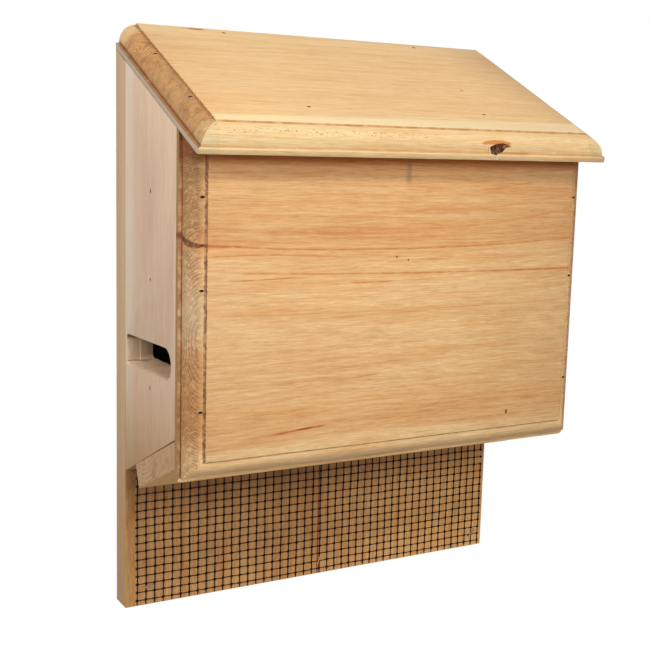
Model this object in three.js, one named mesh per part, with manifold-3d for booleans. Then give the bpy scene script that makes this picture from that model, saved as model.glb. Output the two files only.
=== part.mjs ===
// Wall-hung bat box of plain softwood boards, nailed together.
// Millimetres. X runs to the right as seen from the front, Y runs to the back, Z is up.
// The origin is the middle of the back face, which hangs against a wall, a post or a tree.

import * as THREE from "three";
import { mergeVertices } from "three/addons/utils/BufferGeometryUtils.js";
import Module from "manifold-3d";

const wasm = await Module();
wasm.setup();

// Driving sizes of the whole box
const overall_width = 317.5;
const overall_height = 419.1;
const roof_length = 171.45;
const roof_pitch_deg = 24.3;
const floor_pitch_deg = 25.5;

// Boards
const back_thickness = 19.05;
const back_joint_offset = 0.8;
const back_joint_gap = 0.4;
const side_thickness = 19.05;
const side_depth = 96.15;
const side_tail_height = 104.3;
const front_foot_height = 122.5;
const partition_thickness = 19.05;
const partition_foot_gap = 22;
const partition_head_gap = 24;
const floor_thickness = 16.8;
const rear_chamber_depth = 40.5;
const entry_gap = 21.45;
const floor_front_gap = 0.8;
const end_clearance = 0.15;
const slope_clearance = 0.3;

// Routed edge of the roof and of the front panel, from the outer edge inwards
const lip_thickness = 3.5;
const lip_ledge_width = 2.3;
const front_foot_ledge_width = 3.1;
const round_radius = 11.8;
const field_step_height = 1.1;
const front_corner_radius = 3.5;
const roof_corner_radius = 0.8;
const round_facets = 8;
const corner_facets = 4;

// Vent slot in each side
const slot_height = 22;
const slot_back_margin = 2.85;
const slot_front_margin = 7.4;
const slot_above_tail = 91.7;
const slot_facets = 10;

// Climbing net
const net_columns = 15;
const net_rows = 20;
const net_left_margin = 8.95;
const net_right_margin = 3.75;
const net_foot_height = 4.1;
const net_head_margin = 16;
const net_thickness = 0.8;
const net_strand_width = 1;
const net_stub_length = 1.4;
const net_foot_edge_height = 0.5;

// Brads and staples
const brad_head_width = 3;
const brad_head_height = 0.9;
const brad_wire_width = 1.6;
const brad_wire_thickness = 1.5;
const brad_point_length = 2.4;
const brad_set_depth = 0.7;
const long_brad_length = 45;
const short_brad_length = 32;
const fastener_clearance = 0.3;
const side_nail_inset = 11.3;
const staple_crown_width = 8.5;
const staple_leg_length = 9;
const staple_wire_thickness = 1;
const cut_overrun = 5;

// Places of the brads, as shares of the piece they follow, and as rows of the net
const front_nail_row_shares = { low: 0.212, middle: 0.557, high: 0.816 };
const partition_nail_row_shares = { low: 0.232, middle: 0.557, high: 0.816 };
const back_nail_net_rows = { low: 8, middle: 12, high: 16 };
const roof_side_nail_shares = { back: 0.279, front: 0.934 };
const roof_front_nail_share = 0.44;
const roof_back_nail_share = 0.51;
const roof_front_nail_inset = 4.2;
const roof_back_nail_inset = 5.6;
const floor_nail_shares = { back: 0.3, front: 0.78 };

// Places of the staples, in cells of the net across and up, so that their legs miss its strands
const net_staple_shares = {
  left_low: { across: 0.43, up: 0.55, tilt_deg: 8 },
  middle_low: { across: 7.36, up: 0.39, tilt_deg: 66 },
  right_low: { across: 14.65, up: 0.41, tilt_deg: 42 },
  left_high: { across: 2.5, up: 19.5, tilt_deg: 50 },
  middle_high: { across: 7.36, up: 19.5, tilt_deg: 70 },
  right_high: { across: 12.5, up: 19.5, tilt_deg: 35 },
};

// Worked out from the sizes above
const roof_pitch = THREE.MathUtils.degToRad(roof_pitch_deg);
const floor_pitch = THREE.MathUtils.degToRad(floor_pitch_deg);
const half_width = overall_width / 2;
const panel_thickness = lip_thickness + round_radius + field_step_height;
const roof_underside_at_wall = overall_height - panel_thickness / Math.cos(roof_pitch);
const origin_height = roof_underside_at_wall / 2;
const net_face_y = -back_thickness - net_thickness;
const front_back_y = net_face_y - side_depth;
const front_field_y = front_back_y - panel_thickness;
const inner_half_width = half_width - side_thickness;

// Height of the roof's sloping underside above a point at depth y
function underside_z(y) {
  return roof_underside_at_wall + y * Math.tan(roof_pitch);
}

// Height of the sides' slanted lower edge at depth y: it rises to the front
function side_tail_z(y) {
  return side_tail_height + (net_face_y - y) * Math.tan(floor_pitch);
}

// Height of the routed edge's face at a distance from the outer edge
function routed_height(inward) {
  if (inward < lip_ledge_width) return lip_thickness;
  const from_centre = lip_ledge_width + round_radius - inward;
  if (from_centre <= 0) return panel_thickness;
  return lip_thickness + Math.sqrt(round_radius ** 2 - from_centre ** 2);
}

// Profile of one routed edge, as pairs of distance inwards and height, from the foot up
function routed_edge(ledge_width) {
  const points = [[0, 0], [0, lip_thickness]];
  for (let step = 0; step <= round_facets; step += 1) {
    const turn = (Math.PI / 2) * (step / round_facets);
    points.push([
      ledge_width + round_radius * (1 - Math.cos(turn)),
      lip_thickness + round_radius * Math.sin(turn),
    ]);
  }
  points.push([ledge_width + round_radius, panel_thickness]);
  return points;
}

// Closed outline extruded along local Z, from z = 0 to the given length
function extruded(outline, length, holes = []) {
  const shape = new THREE.Shape(outline.map(([u, v]) => new THREE.Vector2(u, v)));
  for (const hole of holes) {
    shape.holes.push(new THREE.Path(hole.map(([u, v]) => new THREE.Vector2(u, v))));
  }
  return new THREE.ExtrudeGeometry(shape, { depth: length, bevelEnabled: false });
}

// The same, with the outline drawn in (y, z) and extruded along X
function extruded_along_x(outline, length, holes = []) {
  const turn = new THREE.Matrix4().makeBasis(
    new THREE.Vector3(0, 1, 0),
    new THREE.Vector3(0, 0, 1),
    new THREE.Vector3(1, 0, 0),
  );
  return extruded(outline, length, holes).applyMatrix4(turn);
}

function solid_of(geometry) {
  const bare = geometry.clone();
  bare.deleteAttribute("normal");
  bare.deleteAttribute("uv");
  const merged = mergeVertices(bare);
  return new wasm.Manifold(new wasm.Mesh({
    numProp: 3,
    vertProperties: new Float32Array(merged.attributes.position.array),
    triVerts: new Uint32Array(merged.index.array),
  }));
}

function geometry_of(solid) {
  const mesh = solid.getMesh();
  const geometry = new THREE.BufferGeometry();
  geometry.setAttribute("position", new THREE.BufferAttribute(mesh.vertProperties, 3));
  geometry.setIndex(new THREE.BufferAttribute(mesh.triVerts, 1));
  geometry.computeVertexNormals();
  return geometry;
}

const front_pine = new THREE.MeshStandardMaterial({ color: 0xd2a169, roughness: 0.72, metalness: 0 });
const roof_pine = new THREE.MeshStandardMaterial({ color: 0xe0b67c, roughness: 0.7, metalness: 0 });
const side_pine = new THREE.MeshStandardMaterial({ color: 0xc0a284, roughness: 0.78, metalness: 0 });
const back_pine = new THREE.MeshStandardMaterial({ color: 0xa87a50, roughness: 0.8, metalness: 0 });
const inner_pine = new THREE.MeshStandardMaterial({ color: 0x9c7650, roughness: 0.85, metalness: 0 });
const net_plastic = new THREE.MeshStandardMaterial({ color: 0x15171b, roughness: 0.5, metalness: 0 });
const brad_steel = new THREE.MeshStandardMaterial({ color: 0x5d5750, roughness: 0.45, metalness: 0.9 });
const staple_steel = new THREE.MeshStandardMaterial({ color: 0x9a958c, roughness: 0.35, metalness: 0.95 });

const group = new THREE.Group();
const box = new THREE.Group();
box.position.z = -origin_height;
group.add(box);

function add_piece(name, geometry, material) {
  const piece = new THREE.Mesh(geometry, material);
  piece.name = name;
  box.add(piece);
  return piece;
}

// Back: two upright boards, edge to edge, with tops cut to the roof's slope
function back_board(name, left_x, right_x) {
  const outline = [
    [0, 0],
    [-back_thickness, 0],
    [-back_thickness, underside_z(-back_thickness) - slope_clearance],
    [0, underside_z(0) - slope_clearance],
  ].reverse();
  const board = add_piece(name, extruded_along_x(outline, right_x - left_x), back_pine);
  board.position.x = left_x;
  return board;
}

const back_joint_x = -back_joint_offset;
const back_left = back_board("back_board_left", -half_width, back_joint_x - back_joint_gap / 2);
const back_right = back_board("back_board_right", back_joint_x + back_joint_gap / 2, half_width);

// Sides: top to the roof's slope, foot rising to the front, a round-ended slot right through
const slot_radius = slot_height / 2;
const slot_centre_z = side_tail_height + slot_above_tail;
const slot_back_y = net_face_y - slot_back_margin - slot_radius;
const slot_front_y = front_back_y + slot_front_margin + slot_radius;

function slot_outline() {
  const points = [];
  for (const [centre_y, start] of [[slot_back_y, -Math.PI / 2], [slot_front_y, Math.PI / 2]]) {
    for (let step = 0; step <= slot_facets; step += 1) {
      const turn = start + Math.PI * (step / slot_facets);
      points.push([
        centre_y + slot_radius * Math.cos(turn),
        slot_centre_z + slot_radius * Math.sin(turn),
      ]);
    }
  }
  return points;
}

function side_panel(name, left_x) {
  const outline = [
    [net_face_y, side_tail_z(net_face_y)],
    [net_face_y, underside_z(net_face_y) - slope_clearance],
    [front_back_y, underside_z(front_back_y) - slope_clearance],
    [front_back_y, side_tail_z(front_back_y)],
  ];
  const panel = add_piece(name, extruded_along_x(outline, side_thickness, [slot_outline()]), side_pine);
  panel.position.x = left_x;
  return panel;
}

const left_side = side_panel("left_side", -half_width);
const right_side = side_panel("right_side", inner_half_width);

// Plan outline of a routed panel, with the two corners of its low end eased
function lip_plan(width, length, ease) {
  const half = width / 2;
  const outline = new THREE.Shape();
  outline.moveTo(-half + ease, 0);
  outline.lineTo(half - ease, 0);
  outline.quadraticCurveTo(half, 0, half, ease);
  outline.lineTo(half, length);
  outline.lineTo(-half, length);
  outline.lineTo(-half, ease);
  outline.quadraticCurveTo(-half, 0, -half + ease, 0);
  return outline;
}

// A routed panel lies flat here: X across, Y up its length from the routed low end, Z its thickness.
// The two profiles, run across and along, leave a mitre where they meet.
function routed_panel(width, length, high_end, low_ledge_width, corner_radius) {
  const edge = routed_edge(lip_ledge_width);
  const mirrored = edge.map(([inward, height]) => [width - inward, height]).reverse();
  const across = edge.concat(mirrored).map(([u, v]) => [u - width / 2, v]).reverse();
  const turn = new THREE.Matrix4().makeBasis(
    new THREE.Vector3(1, 0, 0),
    new THREE.Vector3(0, 0, 1),
    new THREE.Vector3(0, -1, 0),
  );
  const longest = length + cut_overrun * 2;
  const run_along = extruded(across, longest + cut_overrun).applyMatrix4(turn);
  run_along.translate(0, longest, 0);
  const low_edge = routed_edge(low_ledge_width).concat(high_end);
  const run_across = extruded_along_x(low_edge.reverse(), width + cut_overrun * 2);
  run_across.translate(-width / 2 - cut_overrun, 0, 0);
  const plan = new THREE.ExtrudeGeometry(lip_plan(width, longest, corner_radius), {
    depth: panel_thickness,
    bevelEnabled: false,
    curveSegments: corner_facets,
  });
  return solid_of(run_along).intersect(solid_of(run_across)).intersect(solid_of(plan));
}

// Front panel: stands on its routed foot against the sides, top cut to the roof's slope
const front_foot_z = front_foot_height;
const front_top_back = underside_z(front_back_y) - slope_clearance - front_foot_z;
const front_top_field = underside_z(front_field_y) - slope_clearance - front_foot_z;
const front_solid = routed_panel(overall_width, front_top_back, [
  [front_top_field, panel_thickness],
  [front_top_back, 0],
], front_foot_ledge_width, front_corner_radius);
const front_panel = add_piece("front_panel", geometry_of(front_solid), front_pine);
front_panel.rotation.x = Math.PI / 2;
front_panel.position.set(0, front_back_y, front_foot_z);

// Roof: routed at the front and both ends, cut plumb at the wall
const roof_slope_underside = roof_length - panel_thickness * Math.tan(roof_pitch);
const roof_solid = routed_panel(overall_width, roof_slope_underside, [
  [roof_length, panel_thickness],
  [roof_slope_underside, 0],
], lip_ledge_width, roof_corner_radius);
const roof_board = add_piece("roof_board", geometry_of(roof_solid), roof_pine);
roof_board.rotation.x = roof_pitch;
roof_board.position.set(
  0,
  -roof_slope_underside * Math.cos(roof_pitch),
  underside_z(-roof_slope_underside * Math.cos(roof_pitch)),
);

// Floor: lies against the sides' slanted feet, its back end square and clear of the net
const floor_back_y = net_face_y - entry_gap;
const floor_back_top_z = side_tail_z(floor_back_y) - slope_clearance;
const floor_front_y = front_back_y + end_clearance;
const floor_front_top_z = side_tail_z(floor_front_y) - slope_clearance - floor_front_gap;
const floor_slope = Math.atan2(floor_front_top_z - floor_back_top_z, floor_back_y - floor_front_y);
const floor_plumb = floor_thickness / Math.cos(floor_slope);
const floor_board = add_piece("floor_board", extruded_along_x([
  [floor_back_y, floor_back_top_z],
  [floor_front_y, floor_front_top_z],
  [floor_front_y, floor_front_top_z - floor_plumb],
  [
    floor_back_y - floor_thickness * Math.sin(floor_slope),
    floor_back_top_z - floor_thickness * Math.cos(floor_slope),
  ],
], overall_width), side_pine);
floor_board.position.x = -half_width;

// Partition: hangs between the sides and parts the box into two roosting spaces
const partition_back_y = net_face_y - rear_chamber_depth;
const partition_front_y = partition_back_y - partition_thickness;
const partition_foot_z = side_tail_z(partition_front_y) + partition_foot_gap;
const partition_head_z = underside_z(partition_front_y) - partition_head_gap;
const partition_length = (inner_half_width - end_clearance) * 2;
const partition = add_piece("roost_partition", extruded_along_x([
  [partition_back_y, partition_foot_z],
  [partition_back_y, partition_head_z],
  [partition_front_y, partition_head_z],
  [partition_front_y, partition_foot_z],
], partition_length), inner_pine);
partition.position.x = -partition_length / 2;

// Climbing net: upright and level strands welded at their crossings, on the back boards' face
const net_left_x = -half_width + net_left_margin;
const net_right_x = half_width - net_right_margin;
const net_head_z = underside_z(net_face_y) - net_head_margin;
const net_pitch_x = (net_right_x - net_left_x) / net_columns;
const net_pitch_z = (net_head_z - net_foot_height) / net_rows;

function net_strand(low_x, high_x, low_z, high_z) {
  const strand = new THREE.BoxGeometry(high_x - low_x, net_thickness, high_z - low_z);
  strand.translate((low_x + high_x) / 2, 0, (low_z + high_z) / 2);
  return solid_of(strand);
}

function net_solid() {
  const half_strand = net_strand_width / 2;
  const high_z = net_head_z + net_stub_length;
  const low_x = net_left_x - net_stub_length;
  const high_x = net_right_x + net_stub_length;
  let net = null;
  for (let column = 0; column <= net_columns; column += 1) {
    const x = net_left_x + net_pitch_x * column;
    const strand = net_strand(x - half_strand, x + half_strand, net_foot_edge_height, high_z);
    net = net ? net.add(strand) : strand;
  }
  for (let row = 0; row <= net_rows; row += 1) {
    const z = net_foot_height + net_pitch_z * row;
    net = net.add(net_strand(low_x, high_x, z - half_strand, z + half_strand));
  }
  return net;
}

const climbing_net = add_piece("climbing_net", geometry_of(net_solid()), net_plastic);
climbing_net.position.y = -back_thickness - net_thickness / 2;

// Brads: flat-headed wire nails. Local Z points out of the head, local X runs along it.
function brad_outline(length, grow) {
  const head = brad_head_width / 2 + grow;
  const wire = brad_wire_width / 2 + grow;
  const head_foot = -brad_head_height - grow;
  const mouth = grow > 0 ? brad_set_depth + cut_overrun : 0;
  return [
    [0, -length - grow * 2],
    [wire, -length + brad_point_length - grow],
    [wire, head_foot],
    [head, head_foot],
    [head, mouth],
    [-head, mouth],
    [-head, head_foot],
    [-wire, head_foot],
    [-wire, -length + brad_point_length - grow],
  ];
}

function brad_geometry(length, grow) {
  const thickness = brad_wire_thickness + grow * 2;
  const geometry = extruded(brad_outline(length, grow), thickness);
  geometry.translate(0, 0, -thickness / 2);
  return geometry.rotateX(Math.PI / 2);
}

// Cuts a shape given in the box's own axes out of a piece that is placed in the box
function cut_from(piece, cutter) {
  piece.updateMatrix();
  const local = cutter.clone().applyMatrix4(piece.matrix.clone().invert());
  piece.geometry = geometry_of(solid_of(piece.geometry).subtract(solid_of(local)));
}

function placing(at, out, along) {
  const across = new THREE.Vector3().crossVectors(out, along);
  return new THREE.Matrix4().makeBasis(along, across, out).setPosition(at);
}

// Drives a brad in at a point of the surface, head outwards, through the pieces it holds together
function drive_brad(name, pieces, at, out, along, length = long_brad_length) {
  const seat = placing(at.clone().addScaledVector(out, -brad_set_depth), out, along);
  const brad = add_piece(name, brad_geometry(length, 0), brad_steel);
  brad.applyMatrix4(seat);
  const hole = brad_geometry(length, fastener_clearance).applyMatrix4(seat);
  for (const piece of pieces) cut_from(piece, hole);
}

const right = new THREE.Vector3(1, 0, 0);
const left = new THREE.Vector3(-1, 0, 0);
const backward = new THREE.Vector3(0, 1, 0);
const forward = new THREE.Vector3(0, -1, 0);
const up = new THREE.Vector3(0, 0, 1);
const down = new THREE.Vector3(0, 0, -1);

const side_ends = [
  { word: "left", sign: -1, side: left_side, back: back_left, out: left },
  { word: "right", sign: 1, side: right_side, back: back_right, out: right },
];
const side_nail_x = half_width - side_nail_inset;
const panel_height = front_top_back;

// Three brads at each end go through the front panel's round into the side's edge
const front_nail_y = front_back_y - routed_height(side_nail_inset);
for (const end of side_ends) {
  for (const [row, share] of Object.entries(front_nail_row_shares)) {
    const at = new THREE.Vector3(end.sign * side_nail_x, front_nail_y, front_foot_z + panel_height * share);
    drive_brad(`front_brad_${end.word}_${row}`, [front_panel, end.side], at, forward, right);
  }
}

// Three more go through each side into the end of the partition, at nearly the same heights
const partition_centre_y = (partition_back_y + partition_front_y) / 2;
for (const end of side_ends) {
  for (const [row, share] of Object.entries(partition_nail_row_shares)) {
    const z = front_foot_z + panel_height * share;
    const at = new THREE.Vector3(end.sign * half_width, partition_centre_y, z);
    drive_brad(`partition_brad_${end.word}_${row}`, [end.side, partition], at, end.out, up);
  }
}

// Brads from the back into the sides pass beside the net or midway between its strands
const back_nail_x = {
  left: -half_width + net_left_margin / 2,
  right: net_right_x - net_pitch_x / 2,
};
for (const end of side_ends) {
  for (const [row, below] of Object.entries(back_nail_net_rows)) {
    const at = new THREE.Vector3(back_nail_x[end.word], 0, net_foot_height + net_pitch_z * (below + 1 / 2));
    drive_brad(`back_brad_${end.word}_${row}`, [end.back, end.side], at, backward, right);
  }
}

// Roof brads go down plumb: two into each side, two into the front, one into each back board
function roof_top_z(y, inward) {
  return underside_z(y) + routed_height(inward) / Math.cos(roof_pitch);
}

for (const end of side_ends) {
  for (const [place, share] of Object.entries(roof_side_nail_shares)) {
    const y = net_face_y - side_depth * share;
    const z = roof_top_z(y, side_nail_inset);
    const at = new THREE.Vector3(end.sign * side_nail_x, y, z);
    drive_brad(`roof_side_brad_${end.word}_${place}`, [roof_board, end.side], at, up, right);
  }
}

for (const end of side_ends) {
  const front_y = front_back_y - roof_front_nail_inset;
  const front_at = new THREE.Vector3(
    end.sign * half_width * roof_front_nail_share,
    front_y,
    roof_top_z(front_y, half_width),
  );
  drive_brad(`roof_front_brad_${end.word}`, [roof_board, front_panel], front_at, up, right);
  const back_at = new THREE.Vector3(
    end.sign * half_width * roof_back_nail_share,
    -roof_back_nail_inset,
    roof_top_z(-roof_back_nail_inset, half_width),
  );
  drive_brad(`roof_back_brad_${end.word}`, [roof_board, end.back], back_at, up, right);
}

// Floor brads go up plumb through the floor into the middle of the sides' slanted feet
const side_centre_x = half_width - side_thickness / 2;
for (const end of side_ends) {
  for (const [place, share] of Object.entries(floor_nail_shares)) {
    const y = floor_back_y + (floor_front_y - floor_back_y) * share;
    const top_z = floor_back_top_z + (floor_back_y - y) * Math.tan(floor_slope);
    const at = new THREE.Vector3(end.sign * side_centre_x, y, top_z - floor_plumb);
    const name = `floor_brad_${end.word}_${place}`;
    drive_brad(name, [floor_board, end.side], at, down, backward, short_brad_length);
  }
}

// Net staples: wire bent to a U over the strands, legs in the back boards
function staple_outline(grow) {
  const outer = staple_crown_width / 2 + grow;
  const inner = staple_crown_width / 2 - staple_wire_thickness - grow;
  const crown_foot = -staple_wire_thickness;
  const foot = -staple_wire_thickness - staple_leg_length - grow;
  const top = grow;
  return [
    [-outer, top],
    [-outer, foot],
    [-inner, foot],
    [-inner, crown_foot],
    [inner, crown_foot],
    [inner, foot],
    [outer, foot],
    [outer, top],
  ];
}

function staple_geometry(grow) {
  const thickness = staple_wire_thickness + grow * 2;
  const geometry = extruded(staple_outline(grow), thickness);
  geometry.translate(0, 0, -thickness / 2);
  return geometry.rotateX(Math.PI / 2);
}

// Only the two legs' holes are cut, so that the board stays whole below the crown
function staple_leg_holes() {
  const width = staple_wire_thickness + fastener_clearance * 2;
  const depth = staple_leg_length + fastener_clearance;
  return [-1, 1].map((sign) => {
    const leg = new THREE.BoxGeometry(width, width, depth + cut_overrun);
    leg.translate(sign * (staple_crown_width - staple_wire_thickness) / 2, 0, (cut_overrun - depth) / 2);
    return leg;
  });
}

const staple_lift = net_thickness + fastener_clearance;

function drive_staple(name, x, z, tilt_deg) {
  const tilt = THREE.MathUtils.degToRad(tilt_deg);
  const along = new THREE.Vector3(Math.cos(tilt), 0, Math.sin(tilt));
  const crown_y = -back_thickness - staple_lift - staple_wire_thickness;
  const staple = add_piece(name, staple_geometry(0), staple_steel);
  staple.applyMatrix4(placing(new THREE.Vector3(x, crown_y, z), forward, along));
  const seat = placing(new THREE.Vector3(x, -back_thickness, z), forward, along);
  for (const leg of staple_leg_holes()) {
    const hole = leg.applyMatrix4(seat);
    cut_from(back_left, hole);
    cut_from(back_right, hole);
  }
}

for (const [place, { across, up: rows_up, tilt_deg }] of Object.entries(net_staple_shares)) {
  const x = net_left_x + net_pitch_x * across;
  const z = net_foot_height + net_pitch_z * rows_up;
  drive_staple(`net_staple_${place}`, x, z, tilt_deg);
}

export default group;
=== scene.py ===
# %% [markdown]
# A bat box of nailed pine boards
#
# The real box is two upright back boards with a climbing net, two slotted sides, a front and a roof
# with routed edges, a sloping floor and a hidden partition, all held by brads. A construction model
# gives every piece its place and size. This lesson makes what the eye sees on top of it: the shaped
# and eased wood, the grain, the net's welds, the nail holes, and the light.

# %% Load the construction model
import math

import bmesh
import bpy
import numpy
from mathutils import Matrix, Vector, noise


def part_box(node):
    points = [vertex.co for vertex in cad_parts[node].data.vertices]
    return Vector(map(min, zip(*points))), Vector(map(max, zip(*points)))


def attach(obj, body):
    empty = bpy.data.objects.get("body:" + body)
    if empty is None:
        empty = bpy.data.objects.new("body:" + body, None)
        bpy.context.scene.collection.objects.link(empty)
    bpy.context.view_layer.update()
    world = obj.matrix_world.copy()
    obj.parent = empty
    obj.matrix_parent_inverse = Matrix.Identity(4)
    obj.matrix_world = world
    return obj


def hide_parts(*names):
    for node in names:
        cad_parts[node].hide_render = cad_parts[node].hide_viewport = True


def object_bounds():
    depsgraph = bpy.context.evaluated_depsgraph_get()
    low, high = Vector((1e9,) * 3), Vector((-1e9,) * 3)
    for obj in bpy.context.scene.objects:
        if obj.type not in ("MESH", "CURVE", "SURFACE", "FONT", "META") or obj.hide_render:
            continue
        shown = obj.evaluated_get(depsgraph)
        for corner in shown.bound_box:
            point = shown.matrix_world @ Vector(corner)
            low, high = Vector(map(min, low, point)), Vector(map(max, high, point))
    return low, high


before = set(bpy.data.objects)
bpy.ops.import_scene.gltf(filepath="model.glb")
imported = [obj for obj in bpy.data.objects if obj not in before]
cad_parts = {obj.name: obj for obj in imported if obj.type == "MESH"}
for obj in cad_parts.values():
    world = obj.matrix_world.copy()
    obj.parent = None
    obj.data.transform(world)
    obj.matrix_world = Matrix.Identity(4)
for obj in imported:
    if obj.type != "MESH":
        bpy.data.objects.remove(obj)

cad_low, cad_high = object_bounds()
mm = 0.001
right, back, up = Vector((1, 0, 0)), Vector((0, 1, 0)), Vector((0, 0, 1))
# Vector noise starts from the clock unless it has a seed, and every run has to give the same box.
noise_seed = 5
noise.seed_set(noise_seed)
print("construction model:", len(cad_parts), "nodes")

# %% [markdown]
# The camera stands where the photograph's camera stood: low and to the left, turned about 32 degrees
# and looking 9 degrees down. A camera is aimed with a rotation, or with a matrix built from one turn
# about each axis. The matrix is used here, because it keeps the photograph's small tilt apart from
# the aim. The lens comes from the focal length in pixels, and the shift keeps the framing.

# %% Camera
picture_pixels = 650
focal_pixels = 1188.6
axis_pixel_across, axis_pixel_down = 392.75, 318.3
camera_turn_deg, camera_pitch_deg, camera_tilt_deg = 31.57, 8.96, 2.01
camera_place = Vector((-430.0, -819.7, 150.7)) * mm

lens = bpy.data.cameras.new("photo_camera")
lens.lens = focal_pixels * lens.sensor_width / picture_pixels
lens.shift_x = (picture_pixels / 2 - axis_pixel_across) / picture_pixels
lens.shift_y = (axis_pixel_down - picture_pixels / 2) / picture_pixels
camera = bpy.data.objects.new("photo_camera", lens)
camera.matrix_world = (
    Matrix.Translation(camera_place)
    @ Matrix.Rotation(math.radians(-camera_turn_deg), 4, "Z")
    @ Matrix.Rotation(math.radians(90 - camera_pitch_deg), 4, "X")
    @ Matrix.Rotation(math.radians(camera_tilt_deg), 4, "Z")
)
bpy.context.scene.collection.objects.link(camera)
bpy.context.scene.camera = camera
bpy.context.scene.view_settings.view_transform = "Standard"
print("lens:", round(lens.lens, 2), "mm")

# %% [markdown]
# A material is a tree of nodes. Wiring dozens of Math nodes by hand hides the idea, so a small class
# stands for the number that a node gives. Adding or multiplying such numbers adds the Math nodes,
# and the recipe for a wood then reads like the sum that it is.

# %% Numbers and colours that write nodes
class Number:
    """The number that one node gives. A sum written with it adds Math nodes to the same material."""

    def __init__(self, tree, socket):
        self.tree = tree
        self.socket = socket

    def math(self, operation, *others):
        node = self.tree.nodes.new("ShaderNodeMath")
        node.operation = operation
        for place, value in zip(node.inputs, (self, *others)):
            plug(value, place)
        return Number(self.tree, node.outputs[0])

    def __add__(self, other):
        return self.math("ADD", other)

    def __sub__(self, other):
        return self.math("SUBTRACT", other)

    def __mul__(self, other):
        return self.math("MULTIPLY", other)

    def __truediv__(self, other):
        return self.math("DIVIDE", other)

    def __neg__(self):
        return self.math("MULTIPLY", -1.0)

    def flip(self):
        """One minus the number."""
        return -self + 1.0

    def step(self, low, high):
        """0 below low, 1 above high, and a smooth rise between them."""
        node = self.tree.nodes.new("ShaderNodeMapRange")
        node.interpolation_type = "SMOOTHSTEP"
        plug(self, node.inputs["Value"])
        plug(low, node.inputs["From Min"])
        plug(high, node.inputs["From Max"])
        return Number(self.tree, node.outputs["Result"])

    def bump(self, centre, reach):
        """1 at the centre, falling to 0 at the reach on either side."""
        return ((self - centre).math("ABSOLUTE") / reach).step(0.0, 1.0).flip()


def srgb(red, green, blue):
    """A colour given as a screen shows it, 0 to 255, turned into the light that a shader mixes."""
    parts = [part / 255 for part in (red, green, blue)]
    linear = [c / 12.92 if c <= 0.04045 else ((c + 0.055) / 1.055) ** 2.4 for c in parts]
    return (*linear, 1.0)


def plug(value, place):
    """Set a socket to a number or a screen colour, or link it to what another node gives."""
    if isinstance(value, Number):
        value.tree.links.new(value.socket, place)
    elif isinstance(value, bpy.types.NodeSocket):
        value.node.id_data.links.new(value, place)
    elif isinstance(value, tuple):
        place.default_value = srgb(*value)
    else:
        place.default_value = value


def mix(amount, first, second, blend="MIX"):
    """The first colour, turned towards the second by the amount, which is a Number."""
    node = amount.tree.nodes.new("ShaderNodeMix")
    node.data_type = "RGBA"
    node.blend_type = blend
    plug(amount, node.inputs[0])
    plug(first, node.inputs[6])
    plug(second, node.inputs[7])
    return node.outputs[2]


class Paint:
    """A colour that is built up in coats. A coat lies where its amount, a Number, is above 0."""

    def __init__(self, colour):
        self.colour = colour

    def cover(self, amount, tint):
        """Hide what lies below under the tint."""
        self.colour = mix(amount, self.colour, tint)

    def stain(self, amount, tint):
        """Darken what lies below by the tint, so that the grain still shows through. It lays stains and
        painted shade.
        """
        self.colour = mix(amount, self.colour, tint, "MULTIPLY")


def new_material(name):
    material = bpy.data.materials.new(name)
    material.use_nodes = True
    return material, material.node_tree, material.node_tree.nodes["Principled BSDF"]


def spot_noise(tree, vector, detail, roughness=0.5):
    node = tree.nodes.new("ShaderNodeTexNoise")
    node.inputs["Scale"].default_value = 1.0
    node.inputs["Detail"].default_value = detail
    node.inputs["Roughness"].default_value = roughness
    tree.links.new(vector, node.inputs["Vector"])
    return Number(tree, node.outputs[0])


# %% [markdown]
# The stage is a plain pale floor and soft studio light. The box hangs on a wall in use and floats in
# the photograph, so the floor lies a little below it. Far from the box the floor turns to plain white
# for the camera, which hides the horizon, and near the box it keeps the box's shadow.

# %% Floor and background
floor_drop = 250 * mm
floor_reach = 40.0
shadow_room = (0.45, 0.58)
floor_glow = 0.5

floor_bm = bmesh.new()
bmesh.ops.create_grid(floor_bm, x_segments=2, y_segments=2, size=floor_reach)
bmesh.ops.translate(floor_bm, verts=floor_bm.verts, vec=up * (cad_low.z - floor_drop))
floor_mesh = bpy.data.meshes.new("studio_floor")
floor_bm.to_mesh(floor_mesh)
floor_bm.free()
studio_floor = bpy.data.objects.new("studio_floor", floor_mesh)
bpy.context.scene.collection.objects.link(studio_floor)


def seen_directly(tree):
    """1 for the camera and for mirror-like and clear rays, 0 for the light that reaches the box."""
    path = tree.nodes.new("ShaderNodeLightPath")
    direct = Number(tree, path.outputs["Is Camera Ray"])
    glossy = Number(tree, path.outputs["Is Glossy Ray"])
    clear = Number(tree, path.outputs["Is Transmission Ray"])
    return direct.math("MAXIMUM", glossy).math("MAXIMUM", clear)


floor_material, tree, shader = new_material("pale_floor")
shader.inputs["Roughness"].default_value = 0.9
plug(mix(seen_directly(tree), (150, 148, 145), (244, 244, 244)), shader.inputs["Base Color"])
white = tree.nodes.new("ShaderNodeEmission")
place = tree.nodes.new("ShaderNodeTexCoord").outputs["Object"]
distance = tree.nodes.new("ShaderNodeVectorMath")
distance.operation = "LENGTH"
tree.links.new(place, distance.inputs[0])
far = Number(tree, distance.outputs["Value"]).step(*shadow_room)
blend = tree.nodes.new("ShaderNodeMixShader")
plug((far * (1.0 - floor_glow) + floor_glow) * seen_directly(tree), blend.inputs[0])
tree.links.new(shader.outputs[0], blend.inputs[1])
tree.links.new(white.outputs[0], blend.inputs[2])
tree.links.new(blend.outputs[0], tree.nodes["Material Output"].inputs["Surface"])
floor_mesh.materials.append(floor_material)

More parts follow.
